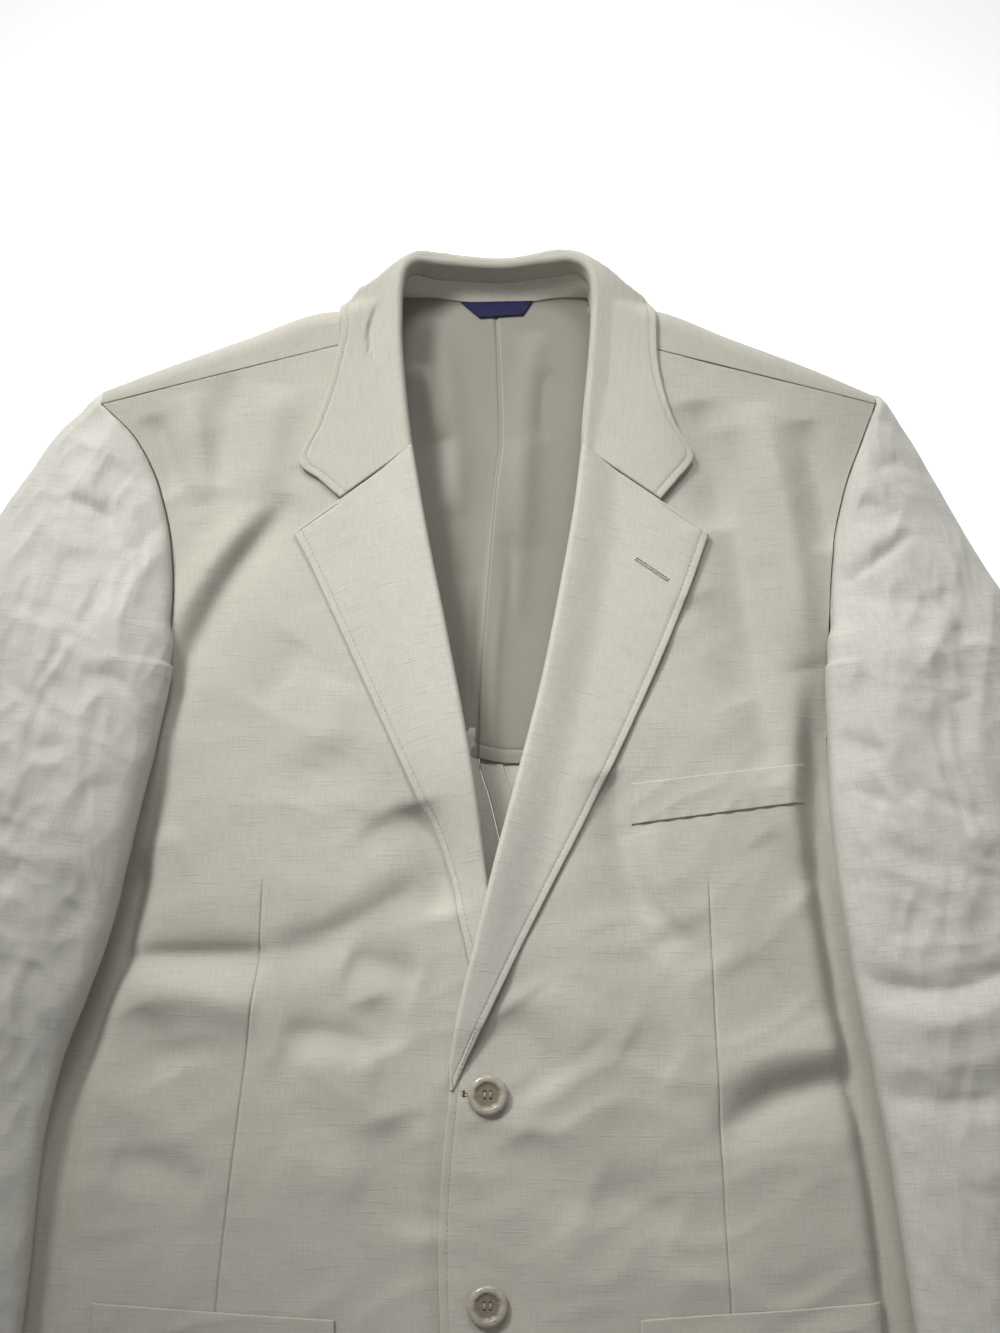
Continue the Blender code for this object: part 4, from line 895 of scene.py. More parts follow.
BACK_ACROSS = 62
PLATE_ROWS = 96
BACK_TOP_ROWS = 84
# Up to here the columns of the back have even rows. Above it they share out their length, with
# end rows set for about BACK_TOP_LENGTH.
PLATE_TOP_Y = 0.260
BACK_TOP_LENGTH = 0.16
# Closing of the rolled shoulder's end: heights where it starts, sizes of its columns, how far
# its middle lies behind the fold, and how far out each column is.
CAP_RISE = (0.0015, 0.0040)
CAP_SIZES = (0.55, 0.10)
CAP_BACK = 0.006
CAP_OUT = 0.0004


def resample(path, fractions):
    """Points at the given fractions of a path's length."""
    path = np.asarray(path, float)
    covered = travelled(path, 0)
    return points_at(path, covered, np.asarray(fractions) * covered[-1])


def back_column(side, share):
    """One column of a back half, from the hem to the neck or over to the shoulder seam."""
    across = share * SHOULDER_TIP[0]
    wrapped = np.clip((across - NECK_ACROSS) / (WRAP_ACROSS - NECK_ACROSS), 0.0, 1.0)
    fold_y = float(shoulder_fold[side](max(across, NECK_ACROSS)))
    seam_end = float(seam_y(across)) + SEAM_GAP
    radius = min(SHOULDER_RADIUS, fold_y - seam_end)
    plate_end = NECK_Y if wrapped == 0.0 else fold_y - radius
    base = np.linspace(HEM_Y, PLATE_TOP_Y, PLATE_ROWS)
    levels = np.append(base, np.linspace(base[-1], plate_end, 24)[1:])
    out = np.maximum(share * back_outer[side](levels), SEAM_GAP / 2.0)
    pull = centre_back(levels) * max(0.0, 1.0 - share / CENTRE_BACK_REACH)
    path = [(x, y, 0.0) for x, y in zip(side * out + pull, levels)]
    if wrapped > 0.0:
        middle = float(arch_top(side * across, plate_end)) / 2.0
        over = []
        for turn in np.linspace(0.0, math.pi, 37):
            y = plate_end + radius * math.sin(turn)
            over.append((side * across, y, middle - middle * math.cos(turn)))
        for y in np.linspace(plate_end, seam_end, 17)[1:]:
            over.append((side * across, y, float(arch_top(side * across, y))))
        path += list(resample(over, np.linspace(0.0, wrapped, 60)[1:]))
    plate = PLATE_ROWS - 1
    top = resample(path[plate:], spaced(BACK_TOP_LENGTH, BACK_TOP_ROWS, low=(0.0,))[0])
    return np.vstack([path[:plate], top])


def shoulder_cap(edge, side):
    """Columns that close the rolled end of the shoulder, inside the sleeve's head."""
    wrap = fade(*CAP_RISE, edge[:, 2])[:, None]
    over = edge[edge[:, 2] > CAP_RISE[0]]
    middle = np.array([0.0, over[:, 1].max() - CAP_BACK, over[:, 2].mean()])
    cap = []
    for step, keep in enumerate(CAP_SIZES, start=1):
        drawn = middle + (edge - middle) * keep
        drawn[:, 0] = edge[:, 0]
        column = between(edge, drawn, wrap)
        column[:, 0] += side * CAP_OUT * step
        cap.append(column)
    return np.stack(cap, axis=1)


def build_back(side):
    """One half of the back, flat on the table and wrapped over the shoulder."""
    even = spaced(SHOULDER_TIP[0], BACK_ACROSS)[0]
    neck = np.linspace(NECK_ACROSS, WRAP_ACROSS, 9) / SHOULDER_TIP[0]
    shares = np.unique(np.round(np.append(even, neck), 5))
    grid = np.stack([back_column(side, share) for share in shares], axis=1)
    grid = np.concatenate([grid, shoulder_cap(grid[:, -1], side)], axis=1)
    down = travelled(grid, 0)
    weave = np.stack([grid[..., 0], down + HEM_Y], axis=-1)
    sink = turned(down[-1:] - down, SEAM_ROUND)
    shell(f"back_{side_names[side]}", grid, weave, BACK_WALL, "linen", sink, up=False)


# ---- fronts -------------------------------------------------------------------------------

FRONT_ROWS = 300
FRONT_ACROSS = 104
FRONT_LENGTH = 0.755
LIP_LEVELS = (0.0015, 0.0022, 0.003)

# Where the darts' seams run, and the depth and reach of their hollow and of their groove.
DART_ENDS = (-0.236, 0.028)
DART_HOLLOW = (0.0005, 0.010)
DART_GROOVE = (0.00110, 0.00065)
# Where the stitching of the front edge comes in.
CLOSURE_STITCH_Y = (-0.02, -0.08)
# Share of a row between which its dart stays, and the lengths over which its seam runs out.
DART_SHARE = (0.2, 0.8)
DART_RUN_OUT = (0.01, -0.012)
DART_POINTS = (0.0, 0.0003, 0.0006, 0.0010, 0.0018)


def front_boundaries(side, at):
    """Inner and outer plan points of a front's row."""
    inner = np.stack([side * front_inner[side](at), front_inner_y(at)], axis=-1)
    outer = np.stack([side * front_outer[side](at), front_outer_y(at)], axis=-1)
    return inner, outer


def fold_across(curves):
    """How far out a sleeve's inner fold lies, by y."""
    fold = plan_points(curves, "inner", np.linspace(0.0, 1.0, 80))[::-1]
    return fold[:, 1], np.abs(fold[:, 0])


sleeve_fold = {side: fold_across(curves) for side, curves in sleeve_curves.items()}
# How far inside the sleeve's inner fold the valley's line runs.
FOLD_MARGIN = 0.004
# The valley beside each sleeve: levels where it comes in and is full, depth, reach behind and
# before its line, and how steep its walls are.
VALLEY_DEEP = {-1: (0.120, -0.010), 1: (0.165, 0.070)}
VALLEY_DEPTH = 0.0190
VALLEY_BEHIND = 0.012
VALLEY_WIDTH = {-1: 0.0115, 1: 0.0108}
VALLEY_STEEP = {-1: 1.7, 1: 2.4}


def valley(side, x, y):
    """How far a front sinks beside the sleeve that lies over its side."""
    off = sleeve_edge_off(side, x, y)
    off = np.abs(off / np.where(off > 0.0, VALLEY_BEHIND, VALLEY_WIDTH[side]))
    deep = VALLEY_DEPTH * fade(*VALLEY_DEEP[side], y)
    return deep * np.exp(-(off ** VALLEY_STEEP[side]))


# The right front's dip along the closure: depth, levels where it comes in, and reach.
CLOSURE_DIP = 0.0022
CLOSURE_DIP_Y = (-0.085, -0.105)
CLOSURE_DIP_REACH = 0.006
# Unevenness of the fronts: height, size of its facets, seed, turn and stretch.
FRONT_FINE = (0.00115, 0.026, 5, 0.35, 1.8)
FRONT_BROAD = (0.00260, 0.070, 11, -0.6, 1.6)
# Levels over which it grows downward, places over which it grows to the left, by how much, and
# how far from the outer edge it is full.
RUMPLE_LOWER_Y = (0.12, -0.10)
RUMPLE_LEFT_X = (-0.04, 0.02)
RUMPLE_LEFT = 0.35
RUMPLE_IN = 0.02


def closure_dip(x, y):
    """How far the right front sinks along the edge of the left one that closes over it."""
    at = np.linspace(0.0, 1.0, 200)
    edge = np.interp(y, front_inner_y(at), front_inner[1](at))
    along = fade(*CLOSURE_DIP_Y, y)
    return CLOSURE_DIP * along * np.exp(-(((x - edge) / CLOSURE_DIP_REACH) ** 2))


def sleeve_edge_off(side, x, y):
    """Distance outward from a sleeve's inner fold."""
    return np.abs(x) + FOLD_MARGIN - np.interp(y, *sleeve_fold[side])


def front_rumple(x, y):
    """The fine unevenness of the fronts, stronger down the lower body and on the left."""
    lower = fade(*RUMPLE_LOWER_Y, y)
    fine = rumple(x, y, *FRONT_FINE) * (0.40 + 0.60 * lower)
    broad = rumple(x, y, *FRONT_BROAD) * (0.50 + 0.50 * lower)
    return (fine + broad) * (1.0 + RUMPLE_LEFT * fade(*RUMPLE_LEFT_X, x))


def front_skin(side, x, y):
    """Top of a front with its unevenness, where pockets lie on it."""
    return front_top[side](x, y) + front_rumple(x, y) - valley(side, x, y)


def build_front(side):
    """A front panel: an arch from its front edge and roll line out to the side and armhole."""
    at = spaced(FRONT_LENGTH, FRONT_ROWS)[0]
    inner, outer = front_boundaries(side, at)
    width = np.linalg.norm(outer - inner, axis=1)
    reach = np.abs(outer[:, 0]) - side * inner[:, 0]
    middle = (dart_across[side](front_inner_y(at)) - side * inner[:, 0]) / reach
    middle = np.clip(middle, *DART_SHARE)
    half = FRONT_ACROSS // 2
    before = spaced(width * middle, half, STITCHED_EDGE, DART_POINTS)
    after = spaced(width * (1.0 - middle), half, DART_POINTS, EDGE)[:, 1:]
    at, width, middle = at[:, None], width[:, None], middle[:, None]
    share = np.concatenate([before * middle, middle + after * (1.0 - middle)], axis=1)
    plan = between(inner[:, None], outer[:, None], share[..., None])
    x, y = plan[..., 0], plan[..., 1]
    edge_in, edge_out = share * width, (1.0 - share) * width
    near_dart = np.abs(share - middle) * width
    sewn = 1.0
    for end, run_out in zip(DART_ENDS, DART_RUN_OUT):
        sewn = sewn * fade(end, end + run_out, y)
    level = front_top[side](x, y) + front_rumple(x, y) * fade(0.0, RUMPLE_IN, edge_out)
    level = level - sewn * seam_sink(near_dart, *DART_HOLLOW)
    if side < 0:
        level = level - closure_dip(x, y)
    level = np.maximum(level - valley(side, x, y), np.minimum(level, SIDE_SEAM_Z + EDGE_HEIGHT))
    grid = raised(plan, level)
    armhole = fade(PIT_Y, PIT_Y + 0.01, y)
    outer_sink = between(turned(edge_out), turned(edge_out, SEAM_ROUND), armhole)
    end_sink = np.maximum(turned(at * FRONT_LENGTH), turned((1.0 - at) * FRONT_LENGTH, SEAM_ROUND))
    sink = np.maximum(np.maximum(turned(edge_in), outer_sink), end_sink)
    sink = sink + seam_sink(edge_in - STITCH_IN) * fade(*CLOSURE_STITCH_Y, y)
    sink = sink + seam_sink(near_dart, *DART_GROOVE) * sewn
    grid, sink = with_lips(grid, sink, both=False)
    rise = np.abs(travelled(grid, 1) - np.linalg.norm(grid[:, :, :2] - grid[:, :1, :2], axis=-1))
    weave = np.stack([grid[..., 0] + side * rise, grid[..., 1]], axis=-1)
    name = f"front_{side_names[side]}"
    shell(name, grid, weave, FRONT_WALL, "linen", sink, floor=SIDE_SEAM_Z)


# ---- lapels and collar --------------------------------------------------------------------


def fold_section(roll_z, foot, surface, width, radius, shares):
    """A folded-back section: up its inner side, over the roll, and out along a surface.

    Places are (out, z), out from the roll's inner face. foot is the inner side's lower edge.
    surface gives the height at a distance, and the distance to the outer wall, if any.
    """
    height_at, wall_out = surface
    rise_end = roll_z - radius
    up = np.linspace(0.0, 1.0, 7)[:-1]
    start = [(foot[0] * (1.0 - part), foot[1] + (rise_end - foot[1]) * part) for part in up]
    for turn in np.linspace(math.pi, math.pi / 2.0, 9)[:-1]:
        out = radius * (1.0 + math.cos(turn))
        start.append((out, rise_end + radius * math.sin(turn)))
    path = [(radius, roll_z)]
    limit = min(wall_out - radius, width + radius + SECTION_STEP)
    for out in np.arange(radius + SECTION_STEP, limit, SECTION_STEP):
        path.append((out, height_at(out)))
    if wall_out < width + 2.0 * radius:
        shoulder = path[-1][1]
        corner = wall_out - path[-1][0]
        for turn in np.linspace(0.0, math.pi / 2.0, 9)[1:]:
            out = path[0][0] if corner <= 0.0 else wall_out - corner * (1.0 - math.sin(turn))
            path.append((out, shoulder - corner * (1.0 - math.cos(turn))))
        path.append((wall_out, WALL_FOOT))
        for turn in np.linspace(0.0, math.pi / 2.0, 6)[1:]:
            out = wall_out - WALL_FOOT * (1.0 - math.cos(turn))
            path.append((out, WALL_FOOT * (1.0 - math.sin(turn))))
        path.append((wall_out - width, 0.0))
    path = np.array(path)
    covered = travelled(path, 0)
    return np.vstack([start, points_at(path, covered, shares * min(width, covered[-1]))])


def place_section(section, origin, direction):
    """Turn (out, z) places into points along a direction from an origin."""
    return raised(origin + section[:, :1] * direction, section[:, 1])


def to_edge(section, shares, width):
    """Distance of each place of a section to its outer edge, and the width on its inner side."""
    return np.append(np.full(len(section) - len(shares), width), (1.0 - shares) * width)


LAPEL_ROWS = 150
LAPEL_ACROSS = 34
LAPEL_LENGTH = 0.40
# Largest share of a lapel's width that its roll takes, and how far from the edge the stitching
# along the gorge meets that along the edge.
LAPEL_ROLL_SHARE = 0.25
STITCH_MEET = (0.0035, 0.0045)
# The left lapel runs out below its break point, thinner and flatter down to the closure edge.
LAPEL_TAIL = {-1: 0.0, 1: -0.05}
# Its end, its size there, its lift off the front, and where it has the lapel's full thickness.
TAIL_POINT = (-0.0215, -0.0945)
TAIL_SIZE = (0.0024, 0.0004)
TAIL_LIFT = 0.0012
TAIL_FULL = 0.10


def lapel_plan(side, at):
    """Roll and edge of a lapel's section, and how much of the roll's height it has."""
    roll = plan_points(lapel_curves[side], "roll", at)
    edge = plan_points(lapel_curves[side], "edge", at)
    tail = LAPEL_TAIL[side]
    if tail == 0.0:
        return roll, edge, 1.0
    run_out = float(np.clip(at / tail, 0.0, 1.0))
    point = np.array(TAIL_POINT)
    roll = roll + (point - roll) * run_out
    edge = edge + (point + TAIL_SIZE - edge) * run_out
    return roll, edge, float(fade(tail, TAIL_FULL, at))


def build_lapel(side):
    """The facing where it shows: round the roll and over the front to the lapel's edge."""
    top = front_top[side]
    tail = LAPEL_TAIL[side]
    ats = tail + (1.0 - tail) * spaced(LAPEL_LENGTH, LAPEL_ROWS, high=STITCHED_EDGE)[0]
    lines, from_edge = [], []
    for at in ats:
        roll, edge, full = lapel_plan(side, at)
        width = float(np.linalg.norm(edge - roll))
        direction = (edge - roll) / width
        rise = LAPEL_ROLL_RISE * float(fade(0.0, LAPEL_ROLL_FULL, at)) + LAPEL_ROLL_BASE
        rise = rise * full
        lift = TAIL_LIFT + (LAY_GAP + FACING_WALL - TAIL_LIFT) * full
        radius = min(LAPEL_RADIUS, LAPEL_ROLL_SHARE * width)

        def height_at(out, roll=roll, direction=direction, rise=rise, lift=lift):
            place = roll + out * direction
            return float(top(*place)) + lift + rise * (1.0 - fade(0.0, LAPEL_ROLL_REACH, out))

        roll_z = height_at(radius)
        foot_z = min(float(top(*roll)) - FRONT_WALL * full, roll_z - radius - FOOT_DROP)
        shares = spaced(width, LAPEL_ACROSS, low=(0.0,), high=STITCHED_EDGE)[0]
        section = fold_section(
            roll_z, (LAPEL_FOOT_OUT, foot_z), (height_at, math.inf), width - radius, radius, shares
        )
        lines.append(place_section(section, roll, direction))
        from_edge.append(to_edge(section, shares, width))
    grid = np.array(lines)
    from_edge = np.array(from_edge)
    from_end = ((1.0 - ats) * LAPEL_LENGTH)[:, None]
    along_gorge = travelled(grid, 1) - GORGE_START
    notch = fade(NOTCH_START - NOTCH_EASE, NOTCH_START + NOTCH_EASE, along_gorge)
    sink = np.maximum(turned(from_edge), turned(from_end)) + seam_sink(from_edge - STITCH_IN)
    sink = sink + seam_sink(from_end - STITCH_IN) * notch * fade(*STITCH_MEET, from_edge)
    weave = np.stack([travelled(grid, 1), travelled(grid, 0)], axis=-1)
    shell(f"facing_{side_names[side]}", grid, weave, FACING_WALL, "lapel", sink)


# How far along the gorge from the roll the notch opens, and over what length.
NOTCH_START = 0.0585
NOTCH_EASE = 0.001
# How far the gorge begins from the foot of the lapel's inner side.
GORGE_START = 0.010

COLLAR_ROWS = 190
COLLAR_LENGTH = 0.32
FALL_ACROSS = 36
# Distances inside the neck's edge between which the fall starts to rest on the shoulders.
FALL_REST = (0.012, 0.003)


def collar_curves():
    """The collar's table as smooth curves along its rows."""
    index = np.arange(len(COLLAR["x"]))
    return {name: through(index, values) for name, values in COLLAR.items()}, index[-1]


def collar_frame(curves, row):
    """Roll point and outward direction of one collar section."""
    roll = np.array([curves["x"](row), curves["y"](row)])
    angle = math.radians(float(curves["angle"](row)))
    return roll, np.array([math.cos(angle), math.sin(angle)])


def distance_to_outline(roll, direction):
    """How far outward the collar's outline is from the roll."""
    out = np.arange(0.0, OUTLINE_REACH, OUTLINE_STEP)
    place = roll + out[:, None] * direction
    beyond = np.nonzero(place[:, 1] > collar_outline(place[:, 0]))[0]
    return out[beyond[0]] if len(beyond) else math.inf


def smooth_outline(distances):
    """Even out the steps of the searched distances, row to row."""
    distances = np.array(distances)
    found = np.isfinite(distances)
    even = distances.copy()
    for index in np.nonzero(found)[0]:
        around = distances[max(0, index - 3):index + 4]
        even[index] = around[np.isfinite(around)].mean()
    return even


def collar_support(place):
    """Height that the fall's outer skin needs over the shoulders; none over the neck."""
    x, y = place
    edge = float(by_side(neck_edge, x, y))
    near = fade(edge - FALL_REST[0], edge - FALL_REST[1], abs(x))
    return near * float(shoulder_top(x, y, COLLAR_WALL + COLLAR_EASE))


def build_collar():
    """The collar: upper stand, fold and fall, lying on the fronts and round the neck."""
    curves, last = collar_curves()
    rows = spaced(COLLAR_LENGTH, COLLAR_ROWS)[0] * last
    frames = [collar_frame(curves, row) for row in rows]
    walls = smooth_outline([distance_to_outline(*place) for place in frames])
    lines, from_edge = [], []
    for row, (roll, direction), wall_out in zip(rows, frames, walls):
        roll_z = float(curves["z"](row))
        foot = (float(curves["lean"](row)), roll_z - float(curves["drop"](row)) - ROLL_RADIUS)

        def height_at(out, roll=roll, direction=direction, roll_z=roll_z):
            falling = roll_z - FALL_SLOPE * (out - ROLL_RADIUS)
            return max(falling, collar_support(roll + out * direction))

        width = float(curves["width"](row)) - ROLL_RADIUS
        shares = spaced(width, FALL_ACROSS, low=(0.0,), high=STITCHED_EDGE)[0]
        section = fold_section(roll_z, foot, (height_at, wall_out), width, ROLL_RADIUS, shares)
        lines.append(place_section(section, roll, direction))
        from_edge.append(to_edge(section, shares, width))
    grid = np.array(lines)
    from_edge = np.array(from_edge)
    from_end = (np.minimum(rows, last - rows) / last * COLLAR_LENGTH)[:, None]
    sink = np.maximum(turned(from_edge), turned(from_end)) + seam_sink(from_edge - STITCH_IN)
    weave = np.stack([travelled(grid, 0), travelled(grid, 1)], axis=-1)
    shell("collar", grid, weave, COLLAR_WALL, "collar", sink)


# Rows between which the stand turns round the back of the neck, where its lower edge comes
# down to the back's neck seam, and how far its upper edge goes behind the collar.
STAND_TURN = (4.8, 6.0)
STAND_TURN_BACK = (19.2, 18.0)
STAND_BEHIND = COLLAR_WALL + 2 * SEAM_GAP
STAND_LAP = 0.0026
# The neck seam: its height, its lowest place, and how it rises to both sides.
NECK_SEAM_Z = 0.0036
NECK_SEAM_X = 0.005
NECK_SEAM_Y = 0.3908
NECK_SEAM_RISE = 0.0034
NECK_SEAM_FADE = (0.012, 0.044)
# The stand's size, its rows and columns, and the rounding of its edges.
STAND_WIDTH = 0.012
STAND_ACROSS = 8
STAND_LENGTH = 0.20
STAND_ROWS = 120
STAND_ROUND = 0.0008


def neck_seam_y(x):
    """The back's neck seam, a little lower in the middle."""
    return NECK_SEAM_Y + NECK_SEAM_RISE * fade(*NECK_SEAM_FADE, np.abs(x - NECK_SEAM_X))


def build_stand():
    """The lower stand, from the stitched line inside the collar down to the neck seam."""
    curves, _ = collar_curves()
    foot = curves_of(STAND_FOOT, "row")
    first, last = STAND_FOOT["row"][[0, -1]]
    share = spaced(STAND_WIDTH, STAND_ACROSS)[0][::-1, None]
    lines = []
    for row in first + (last - first) * spaced(STAND_LENGTH, STAND_ROWS)[0]:
        roll, direction = collar_frame(curves, row)
        top_out = float(curves["lean"](row)) - SEAM_GAP
        collar_foot = float(curves["z"](row)) - float(curves["drop"](row)) - ROLL_RADIUS
        top_z = collar_foot - 2 * SEAM_GAP - float(foot["sink"](row))
        place = roll + (top_out + STAND_BEHIND) * direction
        upper = np.array([*place, top_z + STAND_LAP])
        lower = np.array([*(roll + float(foot["out"](row)) * direction), float(foot["z"](row))])
        behind = float(fade(*STAND_TURN, row) * fade(*STAND_TURN_BACK, row))
        seam = (float(neck_seam_y(lower[0])), NECK_SEAM_Z)
        lower[1:] += (np.minimum(lower[1:], seam) - lower[1:]) * behind
        lines.append(upper + (lower - upper) * share)
    grid = np.array(lines)
    down = travelled(grid, 1)
    sink = turned(np.minimum(down, down[:, -1:] - down), STAND_ROUND)
    weave = np.stack([travelled(grid, 0), down], axis=-1)
    shell("collar_stand", grid, weave, STAND_WALL, "stand", sink)


# ---- sleeves ------------------------------------------------------------------------------

# Rows and columns of the sleeves: those of the head, and those from the pit's fold down.
HEAD_FINE = 84
SLEEVE_FINE = 210
SLEEVE_ACROSS = 116
UNDER_ACROSS = 40
UNDER_WIDTH = 0.15
SLEEVE_LENGTH = 0.46
# Where the armhole seam goes under the inner fold.
FOLD_START_Y = 0.152
# How far the free fold laps over the front there, where it comes in by its freedom and by its
# distance from the cuff, and how far the head starts before the shoulder's fold.
FOLD_OVER = 0.0025
FOLD_OVER_FREE = (0.35, 0.85)
FOLD_OVER_CUFF = (0.40, 0.46)
HEAD_OVER = 0.001
# Share of the head's length over which its seam turns into a free fold.
HEAD_FREE = (0.78, 0.99)
# Row widths over which the columns go from even to closer at both folds, and how close.
ROUND_WIDTHS = (0.015, 0.080)
ROUND_SHARES = (0.25, 0.65)
# Shape of the arch across a sleeve, and how it keeps its inner height.
SLEEVE_ROUND = 0.425
SLEEVE_HOLD = 2.2
SLEEVE_DROP = 0.6
# Rows over which the top sleeve is evened out more where its seam turns into a fold.
PIT_EASE = 20.0
EASE_PASSES = 24
PIT_PASSES = 110
CUFF_ROUND = 0.0009
UNDER_CUFF_ROUND = 0.0005
# The under sleeve's inner edge: its steps down the head, then those past the pit, where a whole
# sleeve below the pit has SLEEVE_STEPS of them.
UNDER_HEAD = 11
UNDER_PAST = 2
SLEEVE_STEPS = 15
# Crumple of each sleeve: how its long wrinkles lean, in degrees, how strong it is in all, and
# its parts as height, size of the facets, seed, turn from the lean, and stretch.
SLEEVE_LEAN = {-1: 78.0, 1: 102.0}
SLEEVE_CRUSH = {-1: 1.25, 1: 1.0}
SLEEVE_RUMPLES = (
    (0.00250, 0.015, 21, 0.0, 2.2),
    (0.00170, 0.018, 27, 1.1, 2.0),
    (0.00560, 0.046, 33, 0.0, 1.9),
)
# How sharp the sleeves' creases are.
SLEEVE_SHARP = 1.35


def head_rows(side):
    """Rows of the sleeve head: inner points on the armhole seam, outer points, and puff."""
    at = np.linspace(FRONT_OUTER["at"][PIT_ROW], 1.0, 400)
    first = int(np.argmin(np.abs(front_outer_y(at) - FOLD_START_Y)))
    seam = np.stack([side * (front_outer[side](at) + SEAM_GAP), front_outer_y(at)], axis=-1)
    over_y = float(shoulder_fold[side](SHOULDER_TIP[0])) - HEAD_OVER
    over = (side * (SHOULDER_TIP[0] + SEAM_GAP), over_y)
    at = np.linspace(0.0, 1.0, HEAD_FINE)
    inner = resample(np.vstack([[over], seam[first:][::-1]]), at)
    return inner, plan_points(head_curves, side_names[side], at), head_curves["puff"](at), at


def sleeve_rows(side):
    """All rows of a sleeve, shoulder to cuff: inner and outer points, puff, and how far the
    inner edge is a free fold that lies on the front."""
    inner, outer, puff, travel = head_rows(side)
    curves = sleeve_curves[side]
    at = spaced(SLEEVE_LENGTH, SLEEVE_FINE, low=(0.0,))[0][1:]
    inner = np.vstack([inner, plan_points(curves, "inner", at)])
    outer = np.vstack([outer, plan_points(curves, "outer", at)])
    free = np.append(fade(*HEAD_FREE, travel), np.ones(len(at)))
    from_cuff = np.append(np.full(len(travel), SLEEVE_LENGTH), (1.0 - at) * SLEEVE_LENGTH)
    return inner, outer, np.append(puff, curves["puff"](at)), free, from_cuff


def sleeve_rumple(x, y, side):
    """The crushed look of the sleeves: long wrinkles down the arm and short ones across."""
    lean = math.radians(SLEEVE_LEAN[side])
    total = sum(
        rumple(x, y, height, size, seed + side, lean + turn, stretch)
        for height, size, seed, turn, stretch in SLEEVE_RUMPLES
    )
    return total * SLEEVE_CRUSH[side]


def build_sleeve_top(side):
    """The top sleeve: an arch from the armhole seam or inner fold to the outer fold."""
    inner, outer, puff, free, from_cuff = sleeve_rows(side)
    even = np.linspace(0.0, 1.0, SLEEVE_ACROSS)
    width = np.linalg.norm(outer - inner, axis=1)[:, None]
    over = fade(*FOLD_OVER_FREE, free) * fade(*FOLD_OVER_CUFF, from_cuff)
    inner[:, 0] -= side * FOLD_OVER * over
    closer = (1.0 - np.cos(math.pi * even)) / 2.0 - even
    share = even + closer * (ROUND_SHARES[0] + ROUND_SHARES[1] * fade(*ROUND_WIDTHS, width))
    plan = between(inner[:, None], outer[:, None], share[..., None])
    x, y = plan[..., 0], plan[..., 1]
    rest = SLEEVE_WALL + SEAM_GAP + EDGE_HEIGHT
    fold_z = np.maximum(flank_top(*inner.T), arch_cover(*inner.T)) + rest
    inner_z = between(shoulder_top(*inner.T), fold_z, free)
    outer_z = flank_top(*outer.T) + rest
    keep = (1.0 - share**SLEEVE_HOLD) ** SLEEVE_DROP
    held = outer_z[:, None] + (inner_z - outer_z)[:, None] * keep
    arch = (4.0 * share * (1.0 - share)) ** SLEEVE_ROUND
    bends = FOLD_SHARE * folds(SLEEVE_FOLDS, x, y) + sleeve_rumple(x, y, side)
    bends = bends + creases(SLEEVE_CREASES, x, y, SLEEVE_SHARP)
    level = held + puff[:, None] * arch
    near_pit = np.exp(-(((np.arange(len(level)) - HEAD_FINE) / PIT_EASE) ** 2))[:, None]
    level = between(eased(level, EASE_PASSES), eased(level, PIT_PASSES), near_pit) + bends * arch
    seam_edge = turned(share * width, SEAM_ROUND) * (1.0 - free)[:, None]
    sink = np.maximum(turned(from_cuff, CUFF_ROUND)[:, None], seam_edge)
    grid, sink = with_lips(raised(plan, level), sink)
    name = f"sleeve_top_{side_names[side]}"
    shell(name, grid, sleeve_weave(grid), SLEEVE_WALL, "sleeve", sink)


def eased(level, passes):
    """Even out a surface from row to row, with its end rows kept."""
    for _ in range(passes):
        middle = (level[:-2] + 2.0 * level[1:-1] + level[2:]) / 4.0
        level = np.concatenate([level[:1], middle, level[-1:]])
    return level


def with_lips(grid, sink, both=True):
    """Turn the outer long edge, or both of them, down to what the piece lies on."""
    first = np.repeat(grid[:, :1], len(LIP_LEVELS), axis=1)
    last = np.repeat(grid[:, -1:], len(LIP_LEVELS), axis=1)
    first[..., 2] -= LIP_LEVELS[::-1]
    last[..., 2] -= LIP_LEVELS
    if not both:
        first = first[:, :0]
    sink = np.pad(sink, ((0, 0), (first.shape[1], last.shape[1])))
    return np.concatenate([first, grid, last], axis=1), sink


def sleeve_weave(grid):
    """Cloth places of a sleeve: across from its middle, and down its length."""
    middle = grid.shape[1] // 2
    across = travelled(grid, 1)
    across = across - across[:, middle:middle + 1]
    down = travelled(grid[:, middle:middle + 1], 0)
    return np.stack(np.broadcast_arrays(across, -down), axis=-1)


def build_sleeve_under(side):
    """The under sleeve: flat on the table, then up over the flank below the pit."""
    inner, outer, _, _, from_cuff = sleeve_rows(side)
    past = round(UNDER_PAST / SLEEVE_STEPS * SLEEVE_FINE)
    below = UNDER_PAST * np.arange(1, past + 1) / past
    steps = np.append(np.linspace(0.0, UNDER_HEAD, HEAD_FINE), UNDER_HEAD + below)
    inner[:len(steps)] = plan_points(under_curves, side_names[side], steps / steps[-1])
    share = spaced(UNDER_WIDTH, UNDER_ACROSS)[0][:, None]
    plan = between(inner[:, None], outer[:, None], share)
    grid = raised(plan, flank_top(plan[..., 0], plan[..., 1]))
    sink = turned(from_cuff, UNDER_CUFF_ROUND)[:, None]
    name = f"sleeve_under_{side_names[side]}"
    shell(name, grid, sleeve_weave(grid), SLEEVE_WALL, "sleeve", sink, floor=0.0, up=False)


# ---- lining, label, pockets ---------------------------------------------------------------

LINING_HALF_WIDTH = 0.200
LINING_BELOW_FOLD = 0.033
LINING_CORNER = (0.0645, 0.0675)
PLEAT_HEIGHT = 0.0024
PLEAT_FLAT_Y = (0.388, 0.360)
LINING_HEM_STITCH = 0.0085
LINING_DRAPE = 1.7
LINING_LENGTH = 0.29
LINING_ROWS = 120
